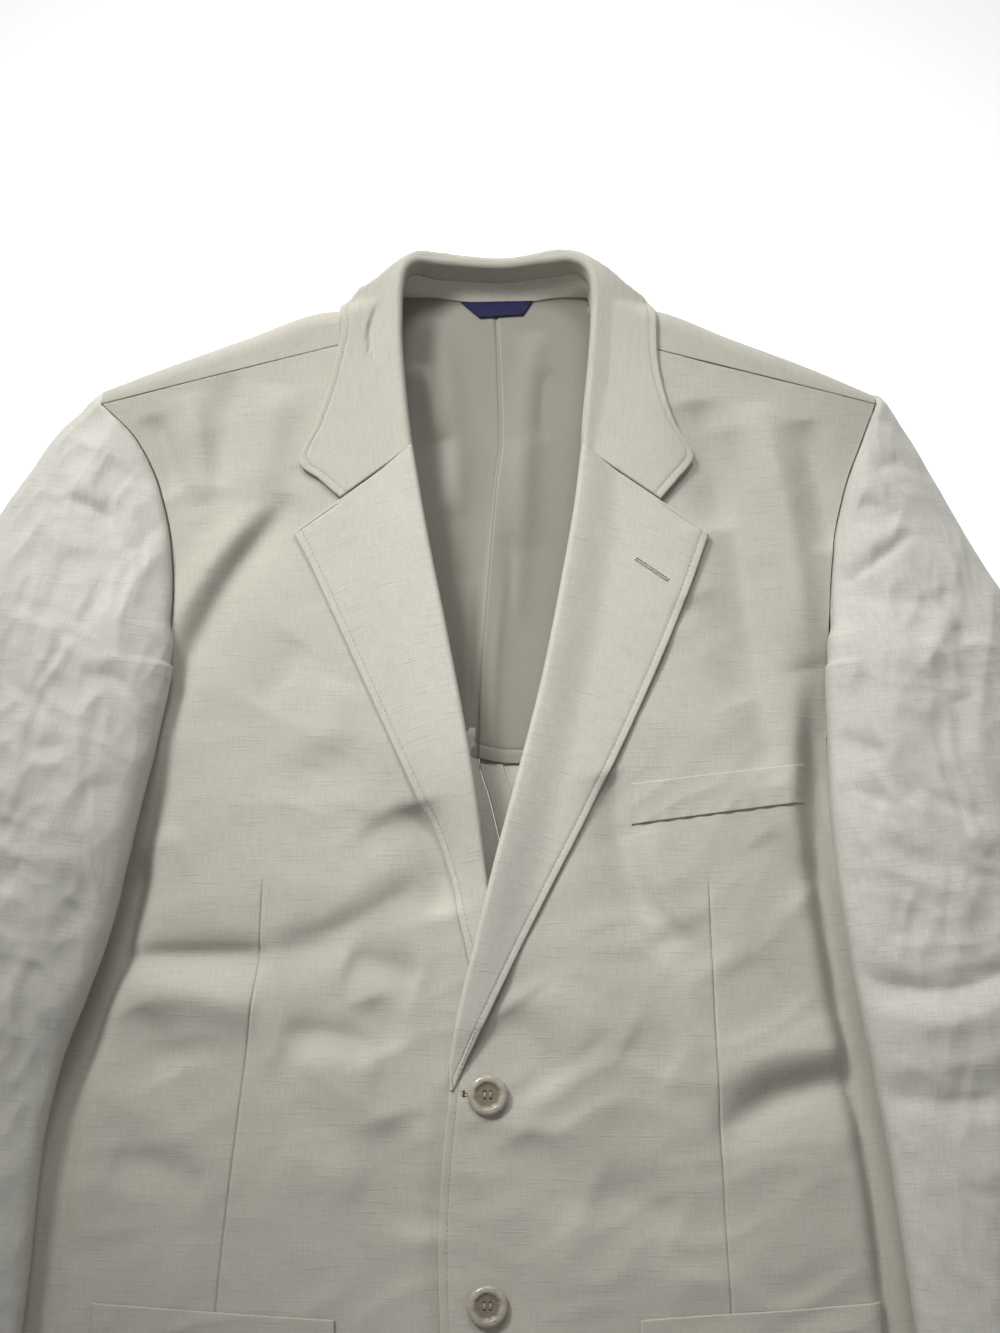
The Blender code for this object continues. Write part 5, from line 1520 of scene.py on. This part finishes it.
# Places of the columns: close in the middle, and wider at both sides.
LINING_MIDDLE = np.linspace(-0.072, 0.072, 81)
LINING_SIDE = np.linspace(0.075, LINING_HALF_WIDTH, 22)
# Reach of the pleat's pull, where the drapes and the pleat's groove come in, and the rounding
# of the hem.
PLEAT_REACH = 0.03
DRAPE_Y = (0.388, 0.375)
PLEAT_GROOVE_Y = (0.391, 0.386)
PLEAT_GROOVE_X = -0.0010
LINING_ROUND = 0.0006
# Depth and reach of the grooves along the hem's stitches and the pleat.
HEM_GROOVE = (0.00035, 0.0009)
PLEAT_GROOVE = (0.0011, 0.0009)
# Rows round the hem's stitches, as shares of the length, and columns round the pleat.
HEM_STITCH_SHARES = (-0.003, -0.0015, 0.0, 0.0015, 0.003)
PLEAT_POINTS = (-0.0030, -0.0022, -0.0014, -0.0007, 0.0, 0.0008, 0.0017)

# Soft drapes of the lining in the neck opening.
LINING_CREASES = columns("x0 y0 x1 y1 bow height width skew", """
-0.034 0.384 -0.02 0.25 0.004 0.0012 0.008 1.5
-0.045 0.35 -0.03 0.3 0.002 0.0012 0.006 1.6
-0.018 0.3 -0.016 0.14 -0.003 0.0009 0.007 1.4
-0.012 0.212 -0.014 0.112 0.001 0.0009 0.003 1.6
0.012 0.24 0.006 0.118 0.001 -0.0009 0.004 1.6
0.03 0.372 0.024 0.23 -0.003 0.0012 0.008 1.4
0.04 0.345 0.036 0.3 0.001 -0.0008 0.006 1.4
0.02 0.3 0.016 0.18 0.002 0.0008 0.006 1.6
""")


def lining_top_edge(x):
    """Upper edge of the lining: the neck seam, then below the shoulder's fold."""
    beside = by_side(shoulder_fold, x, np.maximum(np.abs(x), NECK_ACROSS)) - LINING_BELOW_FOLD
    neck = neck_seam_y(x) + 0.0008
    return neck + (beside - neck) * fade(*LINING_CORNER, np.abs(x))


def lining_top(x, y):
    """Top of the lining: flat on the back, with the centre pleat lapped to one side."""
    off = x - pleat_x(y)
    lap = np.where(off < 0.0, np.exp(-((off / 0.0016) ** 2)), np.exp(-((off / 0.012) ** 2)))
    second = 0.35 * np.exp(-(((off - 0.0085) / 0.0030) ** 2)) * fade(0.25, 0.16, y)
    pleat = (lap + second) * fade(*PLEAT_FLAT_Y, y) * (0.3 + 0.7 * fade(0.330, 0.200, y))
    return BACK_WALL + SEAM_GAP + LINING_WALL + PLEAT_HEIGHT * pleat


def build_lining():
    """The half lining of the back, from the neck seam to its hem."""
    x = np.unique(np.concatenate([-LINING_SIDE, LINING_MIDDLE, LINING_SIDE, PLEAT_POINTS]))
    hem_stitch = LINING_HEM_STITCH / LINING_LENGTH + np.array(HEM_STITCH_SHARES)
    share = np.sort(np.append(spaced(LINING_LENGTH, LINING_ROWS)[0], hem_stitch))[:, None]
    low = lining_hem(x)
    y = low + (lining_top_edge(x) - low) * share
    x = np.broadcast_to(x, y.shape) + pleat_x(y) * np.exp(-((x / PLEAT_REACH) ** 2))
    drape = LINING_DRAPE * np.maximum(creases(LINING_CREASES, x, y), 0.0) * fade(*DRAPE_Y, y)
    grid = np.stack([x, y, lining_top(x, y) + drape], axis=-1)
    from_hem = y - low
    groove = seam_sink(x - pleat_x(y) - PLEAT_GROOVE_X, *PLEAT_GROOVE)
    sink = turned(from_hem, LINING_ROUND) + seam_sink(from_hem - LINING_HEM_STITCH, *HEM_GROOVE)
    sink = sink + groove * fade(*PLEAT_GROOVE_Y, y)
    weave = np.stack([travelled(grid, 1) - LINING_HALF_WIDTH, y], axis=-1)
    floor = BACK_WALL + SEAM_GAP
    shell("lining", grid, weave, LINING_WALL, "lining", sink, floor)


def patch(name, corners, counts, top, thickness, look, edge_round, dip=None):
    """A flat piece lying on a surface, between four corners."""
    corners = np.array(corners)
    length = np.linalg.norm(corners[1] - corners[0])
    height = np.linalg.norm(corners[3] - corners[0])
    along = spaced(length, counts[0])[0][None, :, None]
    up = spaced(height, counts[1])[0][:, None, None]
    low = between(corners[0], corners[1], along)
    plan = between(low, between(corners[3], corners[2], along), up)
    grid = raised(plan, top(plan[..., 0], plan[..., 1]) + thickness)
    along, up = along[..., 0], up[..., 0]
    from_side = np.minimum(along, 1.0 - along) * length
    from_end = np.minimum(up, 1.0 - up) * height
    sink = np.maximum(turned(from_side, edge_round), turned(from_end, edge_round))
    if dip is not None:
        sink = sink + dip(along * length, up * height, length)
    shell(name, grid, plan, thickness, look, sink)


WELT_LOOK_WALL = 0.0009
# The welt's stitched ends: how far in, and the groove's depth and reach. Its puckers: their
# height, turn along the welt and reach from its lower seam.
WELT_STITCH_IN = 0.0022
WELT_GROOVE = (0.00025, 0.0006)
PUCKER_HEIGHT = 0.00022
PUCKER_TURN = 520.0
PUCKER_REACH = 0.006


def welt_dip(along, up, length):
    """Stitched ends of the welt, and the puckers that its seams pull."""
    ends = np.minimum(along, length - along)
    pucker = np.sin(along * PUCKER_TURN) * seam_sink(up, PUCKER_HEIGHT, PUCKER_REACH)
    return seam_sink(ends - WELT_STITCH_IN, *WELT_GROOVE) + pucker


def build_trim():
    """The chest welt, the hip pocket flaps and the bare label."""
    patch(
        "chest_welt", WELT_CORNERS, (130, 34), lambda x, y: front_skin(1, x, y) + SEAM_GAP,
        WELT_LOOK_WALL, "linen", 0.0006, dip=welt_dip,
    )
    for side, name in side_names.items():
        patch(
            f"pocket_flap_{name}", [(side * x, y) for x, y in FLAP_CORNERS], (100, 40),
            lambda x, y, side=side: front_skin(side, x, y) + LAY_GAP, WELT_WALL, "linen", 0.0008,
        )
    patch(
        "label", LABEL_CORNERS, (60, 20), lambda x, y: lining_top(x, y) + 2 * SEAM_GAP,
        LABEL_WALL, "label", 0.0004,
    )


SEAM_STRIP = 0.014
SEAM_STRIP_WALL = 0.0006
SEAM_STRIP_Y = (-0.370, 0.118)
# Gap to the seam, the strips' arch and their waves.
SEAM_STRIP_IN = 0.0004
SEAM_STRIP_ARCH = 0.00045
SEAM_STRIP_WAVE = 0.00035
WAVE_SIZE = 60.0


def build_seam_strips():
    """The pressed-open allowances of the centre-back seam, inside the back."""
    y = np.linspace(*SEAM_STRIP_Y, 90)[:, None]
    share = spaced(SEAM_STRIP, 6)[0]
    for side, name in side_names.items():
        x = centre_back(y) + side * (SEAM_STRIP_IN + SEAM_STRIP * share)
        wave = SEAM_STRIP_WAVE * noise(x * WAVE_SIZE, y * WAVE_SIZE, 41 + side)
        ease = SEAM_STRIP_ARCH * np.sin(math.pi * share) + wave
        level = BACK_WALL + SEAM_GAP + SEAM_STRIP_WALL + 0.0002 + np.abs(ease)
        grid = np.stack(np.broadcast_arrays(x, y, level), axis=-1)
        sink = turned(np.minimum(share, 1.0 - share) * SEAM_STRIP, 0.0004)
        shell(f"back_seam_strip_{name}", grid, grid[..., :2], SEAM_STRIP_WALL, "linen", sink)


# ---- buttons ------------------------------------------------------------------------------

BUTTON_TURNS = 96
# The button's turned section: distance from its axis and height.
BUTTON_SECTION = columns("radius z", """
0 0.002
0.002 0.002
0.0044 0.0021
0.006 0.0023
0.0068 0.0028
0.0075 0.0034
0.0084 0.0037
0.0096 0.0036
0.0106 0.0031
0.0112 0.0024
0.0115 0.0016
""")
BUTTON_UNDER = ((0.0112, 0.0009), (0.0102, 0.0004), (0.0080, 0.0001), (0.0040, 0.0))
HOLE_OFFSET = 0.0017
HOLE_RADIUS = 0.0009
HOLE_DEPTH = 0.0016
HOLE_EDGE = 0.0002
# Radii of the button's rings: close round its holes, then out to its rim.
HOLE_RINGS = np.linspace(0.0009, 0.0038, 16)
RIM_RINGS = np.linspace(0.0042, BUTTON_RADIUS, 30)
# The thread's strands: their heights at the ends and the middle, and their spacing.
STRAND_Z = (0.0014, 0.0026)
STRAND_APART = 1.7
THREAD_RADIUS = 0.00034


def button_seat(x, y):
    """How high a button rests on the left front."""
    turn = np.linspace(0.0, 2.0 * math.pi, 12)
    ring_x = np.append(x + BUTTON_RADIUS * np.cos(turn), x)
    ring_y = np.append(y + BUTTON_RADIUS * np.sin(turn), y)
    return float(left_front_top(ring_x, ring_y).max()) + SEAM_GAP


def build_button(name, x, y):
    """A four-hole button with a raised rim, and the thread that sews it on."""
    radius = np.concatenate([[0.0], HOLE_RINGS, RIM_RINGS])
    section = through(*BUTTON_SECTION.values())(radius)
    turn = np.arange(BUTTON_TURNS) * 2.0 * math.pi / BUTTON_TURNS
    around = np.stack([np.cos(turn), np.sin(turn)], axis=-1)
    off = radius[:, None, None] * around
    to_hole = np.linalg.norm(np.abs(off) - HOLE_OFFSET, axis=-1)
    level = section[:, None] - HOLE_DEPTH * fade(HOLE_RADIUS, HOLE_RADIUS - HOLE_EDGE, to_hole)
    rings = [raised(off[1:], level[1:])]
    for out, height in BUTTON_UNDER:
        rings.append(raised(out * around, np.full(BUTTON_TURNS, height))[None])
    rings = np.concatenate(rings)
    points = np.vstack([[[0.0, 0.0, level[0, 0]]], rings.reshape(-1, 3), [[0.0, 0.0, 0.0]]])
    index = 1 + np.arange(len(points) - 2).reshape(len(rings), BUTTON_TURNS)
    after = np.roll(index, -1, axis=1)
    last = len(points) - 1
    faces = [(0, int(a), int(b)) for a, b in zip(index[0], after[0])]
    faces += quads(index[:-1], index[1:], after[1:], after[:-1])
    faces += [(last, int(b), int(a)) for a, b in zip(index[-1], after[-1])]
    seat = button_seat(x, y)
    add_mesh(name, points + (x, y, seat), faces, points[:, :2], "button")
    strands = []
    for across in (-HOLE_OFFSET, HOLE_OFFSET):
        for part in (-0.5, 0.5):
            offset = across + part * THREAD_RADIUS * STRAND_APART
            start = (x + offset, y - HOLE_OFFSET - HOLE_EDGE, seat + STRAND_Z[0])
            middle = (x + offset * 0.96, y, seat + STRAND_Z[1])
            end = (x + offset, y + HOLE_OFFSET + HOLE_EDGE, seat + STRAND_Z[0])
            strands.append(bend_path(np.array([start, middle, end])))
    add_threads(f"{name}_thread", strands, THREAD_RADIUS)


def bend_path(corners):
    """A rounded path of a thread between its ends, by way of its middle."""
    part = np.linspace(0.0, 1.0, 9)[:, None]
    bend = corners[1] - (corners[0] + corners[2]) / 2.0
    return between(corners[0], corners[2], part) + bend * np.sin(math.pi * part) ** 0.6


# ---- stitching ----------------------------------------------------------------------------

STITCH_PITCH = 0.0031
STITCH_LENGTH = 0.0023
STITCH_RADIUS = 0.00021
# Points of a stitch as shares of its length, where the front edges' stitches end, and how much
# of its radius a thread has at its tips.
STITCH_PARTS = (-0.5, -0.36, 0.0, 0.36, 0.5)
FRONT_STITCH_TOP_Y = -0.075
THREAD_TIP = 0.35


def add_threads(name, paths, radius, sides=6, look="thread"):
    """Lengths of thread, each a closed tube with tapered ends."""
    turn = np.arange(sides)[:, None] * 2.0 * math.pi / sides
    points, faces = [], []
    for path in paths:
        forward = unit(np.gradient(path, axis=0))
        beside = unit(np.cross(forward, (0.0, 0.0, 1.0)))
        over = np.cross(beside, forward)
        size = np.full((len(path), 1, 1), radius)
        size[[0, -1]] *= THREAD_TIP
        ring = beside[:, None] * np.cos(turn) + over[:, None] * np.sin(turn)
        index = len(points) + np.arange(len(path) * sides).reshape(len(path), sides)
        after = np.roll(index, -1, axis=1)
        points += (path[:, None] + ring * size).reshape(-1, 3).tolist()
        faces += quads(index[:-1], after[:-1], after[1:], index[1:])
        faces += [index[0, ::-1].tolist(), index[-1].tolist()]
    points = np.array(points)
    add_mesh(name, points, faces, points[:, :2], look)


def stitches(line, normal):
    """Short threads along a line on a skin."""
    covered = travelled(line, 0)
    line = line + normal * (STITCH_RADIUS * 0.35)
    paths = []
    for centre in np.arange(STITCH_PITCH, covered[-1] - STITCH_PITCH / 2.0, STITCH_PITCH):
        path = points_at(line, covered, centre + STITCH_LENGTH * np.array(STITCH_PARTS))
        path[[0, -1]] -= normal[0] * STITCH_RADIUS * 0.9
        paths.append(path)
    return paths


def build_stitching():
    """The lines of edge stitching on the lapels, the front edges and the collar."""
    inside = len(EDGE) + len(STITCH_POINTS) // 2
    paths = []
    for name in side_names.values():
        skin, normal = made[f"facing_{name}"]
        paths += stitches(skin[:, -1 - inside], normal[:, -1 - inside])
        upper = skin[0, :, 1].mean() > skin[-1, :, 1].mean()
        row = inside if upper else -1 - inside
        beyond = travelled(skin[row], 0) > NOTCH_START + GORGE_START
        paths += stitches(skin[row, beyond], normal[row, beyond])
        skin, normal = made[f"front_{name}"]
        below = skin[:, inside, 1] < FRONT_STITCH_TOP_Y
        paths += stitches(skin[below, inside], normal[below, inside])
    skin, normal = made["collar"]
    paths += stitches(skin[:, -1 - inside], normal[:, -1 - inside])
    add_threads("edge_stitching", paths, STITCH_RADIUS)


BUTTONHOLE_LAPEL = ((0.0885, 0.2165), (0.1075, 0.2035))
BUTTONHOLE_FRONT = ((-0.0145, -0.0962), (0.0040, -0.0968))
PURL_PITCH = 0.00062
PURL_HALF = 0.00125
PURL_RADIUS = 0.00030
# A purl stitch: how far from the slit it starts, its points, and their lift off the cloth.
PURL_GAP = 0.00012
PURL_PARTS = (0.0, 0.25, 0.75, 1.0)
PURL_LIFTS = (0.0002, 0.00045, 0.0004, 0.0001)
BAR_LIFTS = (0.0001, 0.0005, 0.0006, 0.0005, 0.0001)
EYE_RADIUS = 0.00145
EYE_SUNK = 0.00055
EYE_HALF = 0.0017


def surface_height(name, x, y):
    """Height of a made shell's skin at a place, from its nearest points."""
    skin = made[name][0].reshape(-1, 3)
    away = np.hypot(skin[:, 0] - x, skin[:, 1] - y)
    near = np.argsort(away)[:4]
    weight = 1.0 / (away[near] + 1e-6)
    return float((skin[near, 2] * weight).sum() / weight.sum())


def build_buttonhole(name, carrier, ends):
    """A worked buttonhole: close purl stitches along both lips, and a bar across the ends."""
    start, end = np.array(ends)
    length = float(np.linalg.norm(end - start))
    run = (end - start) / length
    left = np.array([-run[1], run[0]])
    paths = []
    for side in (-1, 1):
        for along in np.arange(0.0, length, PURL_PITCH):
            foot = start + run * along + left * side * PURL_GAP
            tip = foot + left * side * PURL_HALF
            height = surface_height(carrier, *((foot + tip) / 2.0))
            plan = between(foot, tip, np.array(PURL_PARTS)[:, None])
            paths.append(raised(plan, height + np.array(PURL_LIFTS)))
    for place in (start, end):
        plan = place + left * np.linspace(-1.0, 1.0, 5)[:, None] * PURL_HALF * 1.05
        paths.append(raised(plan, surface_height(carrier, *place) + np.array(BAR_LIFTS)))
    add_threads(name, paths, PURL_RADIUS, sides=5, look="purl")


def build_eye(name, carrier, place):
    """A near-black tube painted as the shade inside the eye at the end of a buttonhole, just above
    the cloth's skin.
    """
    across = np.linspace(-1.0, 1.0, 7)
    level = surface_height(carrier, *place) - EYE_SUNK * np.abs(across) ** 3
    path = [np.full(7, place[0]), place[1] + across * EYE_HALF, level - EYE_SUNK]
    add_threads(name, [np.column_stack(path)], EYE_RADIUS, sides=12, look="shade")


# ---- materials ----------------------------------------------------------------------------


def add_node(look, kind, inputs=(), **settings):
    """A shader node with its settings, and its inputs set or linked."""
    node = look.node_tree.nodes.new(kind)
    for name, value in settings.items():
        setattr(node, name, value)
    for name, value in dict(inputs).items():
        if isinstance(value, bpy.types.NodeSocket):
            look.node_tree.links.new(value, node.inputs[name])
        else:
            node.inputs[name].default_value = value
    return node


def new_look(name, inputs):
    """A Principled material with these inputs set, and its shader."""
    look = bpy.data.materials.new(name)
    look.use_nodes = True
    shader = look.node_tree.nodes["Principled BSDF"]
    for socket, value in inputs.items():
        shader.inputs[socket].default_value = value
    return look, shader


def weave_noise(look, scale, detail=2.0, roughness=0.5):
    """Noise over the cloth's own places, with a scale along each thread direction."""
    places = add_node(look, "ShaderNodeUVMap", uv_map="weave")
    spread = add_node(
        look, "ShaderNodeMapping", {"Vector": places.outputs["UV"], "Scale": (*scale, 1.0)}
    ).outputs["Vector"]
    return add_node(
        look, "ShaderNodeTexNoise",
        {"Vector": spread, "Scale": 1.0, "Detail": detail, "Roughness": roughness},
    ).outputs["Fac"]


def ranged(look, value, low, high, to_low, to_high):
    """A value brought from one range to another, held at its ends."""
    node = add_node(
        look, "ShaderNodeMapRange",
        {"Value": value, "From Min": low, "From Max": high, "To Min": to_low, "To Max": to_high},
    )
    return node.outputs["Result"]


def math_of(look, operation, first, second):
    """Two values put together."""
    node = add_node(look, "ShaderNodeMath", {0: first, 1: second}, operation=operation)
    return node.outputs["Value"]


def product(look, first, second):
    """Two values multiplied."""
    return math_of(look, "MULTIPLY", first, second)


def tinted(look, colour, value):
    """A colour, or what gives one, times a value."""
    if not isinstance(colour, bpy.types.NodeSocket):
        colour = (*colour, 1.0)
    node = add_node(
        look, "ShaderNodeMix", {"Factor": 1.0, 6: colour, 7: value},
        data_type="RGBA", blend_type="MULTIPLY",
    )
    return node.outputs[2]


def dressed(look, shader, colour, shade, bump=None, roughness=None):
    """Link a shader's shaded colour and, if given, its bump and its roughness."""
    feeds = {"Base Color": tinted(look, colour, shade)}
    if roughness is not None:
        feeds["Roughness"] = roughness
    if bump is not None:
        inputs = dict(zip(("Height", "Strength", "Distance"), bump))
        feeds["Normal"] = add_node(look, "ShaderNodeBump", inputs).outputs["Normal"]
    for name, value in feeds.items():
        look.node_tree.links.new(value, shader.inputs[name])
    return look


def linen(name, colour, contrast=1.0):
    """Plain-woven linen: crossing uneven threads, thicker slubs and a soft cloudiness."""
    look, shader = new_look(name, {
        "Roughness": 0.86, "Sheen Weight": 0.12, "Sheen Roughness": 0.45,
        "Specular IOR Level": 0.25,
    })
    weft = weave_noise(look, (90.0, 1150.0))
    warp = weave_noise(look, (1150.0, 90.0))
    weft_slub = ranged(look, weave_noise(look, (38.0, 620.0), 1.0), 0.57, 0.74, 0.0, 1.0)
    warp_slub = ranged(look, weave_noise(look, (700.0, 34.0), 1.0), 0.62, 0.78, 0.0, 1.0)
    cloud = weave_noise(look, (13.0, 17.0), 3.0, 0.6)
    threads = math_of(look, "ADD", weft, warp)
    slubs = math_of(look, "ADD", weft_slub, product(look, warp_slub, 0.7))
    shade = ranged(look, threads, 0.7, 1.3, 1.0 - 0.075 * contrast, 1.0 + 0.06 * contrast)
    slub_shade = ranged(look, slubs, 0.0, 1.0, 1.0, 1.0 - 0.07 * contrast)
    shade = product(look, shade, slub_shade)
    shade = product(look, shade, ranged(look, cloud, 0.3, 0.7, 0.975, 1.02))
    rough = ranged(look, threads, 0.7, 1.3, 0.80, 0.92)
    relief = math_of(look, "ADD", threads, product(look, slubs, 0.6))
    return dressed(look, shader, colour, shade, (relief, 0.45, 0.00022), rough)


def sateen(name, colour):
    """Smooth lining: fine lengthwise threads under a soft sheen."""
    look, shader = new_look(name, {
        "Roughness": 0.42, "Sheen Weight": 0.15, "Sheen Roughness": 0.35,
        "Specular IOR Level": 0.45,
    })
    threads = weave_noise(look, (2400.0, 120.0))
    cloud = weave_noise(look, (16.0, 7.0), 2.0)
    thread_shade = ranged(look, threads, 0.3, 0.7, 0.96, 1.04)
    cloud_shade = ranged(look, cloud, 0.3, 0.7, 0.95, 1.05)
    shade = product(look, thread_shade, cloud_shade)
    rough = ranged(look, threads, 0.3, 0.7, 0.36, 0.50)
    return dressed(look, shader, colour, shade, (threads, 0.15, 0.0001), rough)


def satin_label(name, colour):
    """A dense woven label: a fine twill rib in dark thread."""
    look, shader = new_look(name, {"Roughness": 0.65, "Specular IOR Level": 0.25})
    places = add_node(look, "ShaderNodeUVMap", uv_map="weave")
    slanted = add_node(
        look, "ShaderNodeMapping",
        {"Vector": places.outputs["UV"], "Rotation": (0.0, 0.0, 0.9)},
    )
    ribs = add_node(
        look, "ShaderNodeTexWave",
        {"Vector": slanted.outputs["Vector"], "Scale": 420.0, "Distortion": 1.0, "Detail": 1.0},
    ).outputs["Fac"]
    shade = ranged(look, ribs, 0.0, 1.0, 0.75, 1.25)
    cloud = ranged(look, weave_noise(look, (300.0, 300.0)), 0.3, 0.7, 0.85, 1.15)
    shade = product(look, shade, cloud)
    return dressed(look, shader, colour, shade, (ribs, 0.4, 0.00015))


def horn(name, rim, middle):
    """Horn-like resin: a pale rim, a darker streaked middle and a polished coat."""
    look, shader = new_look(name, {
        "Roughness": 0.3, "Coat Weight": 0.5, "Coat Roughness": 0.12,
        "Subsurface Weight": 0.08, "Subsurface Scale": 0.002,
    })
    places = add_node(look, "ShaderNodeUVMap", uv_map="weave")
    length = add_node(
        look, "ShaderNodeVectorMath", {0: places.outputs["UV"]}, operation="LENGTH"
    )
    swirl = weave_noise(look, (170.0, 420.0), 3.0, 0.6)
    spread = product(look, math_of(look, "SUBTRACT", swirl, 0.5), 0.0042)
    out = math_of(look, "ADD", length.outputs["Value"], spread)
    share = ranged(look, out, 0.0058, 0.0082, 0.0, 1.0)
    mixed = add_node(
        look, "ShaderNodeMix", {"Factor": share, 6: (*middle, 1.0), 7: (*rim, 1.0)},
        data_type="RGBA",
    )
    streak = ranged(look, swirl, 0.3, 0.7, 0.80, 1.18)
    return dressed(look, shader, mixed.outputs[2], streak)


def thread_look(name, colour):
    """Sewing thread with a faint twist."""
    look, shader = new_look(
        name, {"Roughness": 0.6, "Sheen Weight": 0.2, "Specular IOR Level": 0.35}
    )
    twist = weave_noise(look, (900.0, 900.0))
    return dressed(look, shader, colour, ranged(look, twist, 0.3, 0.7, 0.88, 1.10))


looks = {
    "linen": linen("linen_body", (0.525, 0.508, 0.440)),
    "lapel": linen("linen_lapel", (0.560, 0.545, 0.480)),
    "collar": linen("linen_collar", (0.535, 0.522, 0.450)),
    # Painted light: the stand is the collar's linen, made lighter to stand in for light on its
    # shaded inner face.
    "stand": linen("linen_stand_painted_light", (0.690, 0.672, 0.580)),
    # Partly painted light: the sleeves are the body's linen, a little cooler in tone, and made
    # lighter to stand in for brighter light on them.
    "sleeve": linen("linen_sleeve_painted_light", (0.622, 0.610, 0.556), 1.15),
    "lining": sateen("lining_sateen", (0.290, 0.273, 0.226)),
    "label": satin_label("label_weave", (0.012, 0.011, 0.070)),
    "button": horn("button_horn", (0.440, 0.405, 0.325), (0.230, 0.200, 0.140)),
    "thread": thread_look("sewing_thread", (0.400, 0.384, 0.325)),
    # Partly painted light: the buttonhole thread is made lighter than the cloth to offset the shade
    # between its purl stitches.
    "purl": thread_look("buttonhole_thread_painted_light", (0.600, 0.585, 0.520)),
    # Painted shade: near-black, for the shade inside the buttonhole's eye.
    "shade": thread_look("eye_shade", (0.050, 0.045, 0.036)),
}

for side_sign in side_names:
    build_back(side_sign)
    build_front(side_sign)
    build_lapel(side_sign)
    build_sleeve_top(side_sign)
    build_sleeve_under(side_sign)
build_collar()
build_stand()
build_lining()
build_seam_strips()
build_trim()
for button_name, (button_x, button_y) in BUTTON_CENTRES.items():
    build_button(button_name, button_x, button_y)
build_stitching()
build_buttonhole("lapel_buttonhole", "facing_left", BUTTONHOLE_LAPEL)
build_buttonhole("front_buttonhole", "front_left", BUTTONHOLE_FRONT)
# Painted shade in the eye of the front buttonhole.
build_eye("buttonhole_eye", "front_left", (-0.0137, -0.0962))


# ---- floor, lights and camera -------------------------------------------------------------

FLOOR_HALF = 6.0
FLOOR_Z = -0.0004
# Where the lights are aimed, and how narrow they are.
CHEST = (0.03, 0.12, 0.0)
LIGHT_SPREAD = 34.0


def build_floor():
    """A plain pale surface."""
    mesh = bpy.data.meshes.new("floor")
    corners = [(x, y, FLOOR_Z) for x, y in ((-1, -1), (1, -1), (1, 1), (-1, 1))]
    corners = [(x * FLOOR_HALF, y * FLOOR_HALF, z) for x, y, z in corners]
    mesh.from_pydata(corners, [], [(0, 1, 2, 3)])
    look, _ = new_look("floor_white", {
        "Base Color": (0.93, 0.93, 0.925, 1.0), "Roughness": 0.9, "Specular IOR Level": 0.1,
        "Emission Color": (1.0, 1.0, 1.0, 1.0), "Emission Strength": 0.62,
    })
    mesh.materials.append(look)
    floor = bpy.data.objects.new("floor", mesh)
    bpy.context.collection.objects.link(floor)


def add_light(name, place, size, power, colour):
    """A soft oblong light aimed at the chest, with its width along X."""
    lamp = bpy.data.lights.new(name, "AREA")
    lamp.shape = "RECTANGLE"
    lamp.size, lamp.size_y = size
    lamp.energy = power
    lamp.color = colour
    lamp.spread = math.radians(LIGHT_SPREAD)
    light = bpy.data.objects.new(name, lamp)
    light.location = place
    aim = Vector(CHEST) - Vector(place)
    light.rotation_euler = aim.to_track_quat("-Z", "Y").to_euler()
    bpy.context.collection.objects.link(light)


build_floor()
add_light("key", (-0.76, 1.12, 1.14), (0.50, 0.34), 1.10, (1.0, 0.995, 0.98))
add_light("top", (0.08, 1.26, 1.00), (0.60, 0.28), 0.46, (0.99, 0.995, 1.0))

world = bpy.data.worlds.new("studio")
world.use_nodes = True
sky = world.node_tree.nodes["Background"]
sky.inputs["Color"].default_value = (1.0, 1.0, 1.0, 1.0)
sky.inputs["Strength"].default_value = 0.22
scene = bpy.context.scene
scene.world = world
scene.view_settings.view_transform = "Standard"

FOCAL_PIXELS = 1695.0
IMAGE_HEIGHT = 1333.0
SENSOR_HEIGHT = 36.0
lens_data = bpy.data.cameras.new("camera")
lens_data.sensor_fit = "VERTICAL"
lens_data.sensor_height = SENSOR_HEIGHT
lens_data.sensor_width = SENSOR_HEIGHT
lens_data.lens = FOCAL_PIXELS / IMAGE_HEIGHT * SENSOR_HEIGHT
lens_data.clip_start = 0.01
camera = bpy.data.objects.new("camera", lens_data)
camera.location = (0.007, -0.033, 1.022)
camera.rotation_euler = (math.radians(10.5), 0.0, 0.0)
bpy.context.collection.objects.link(camera)
scene.camera = camera
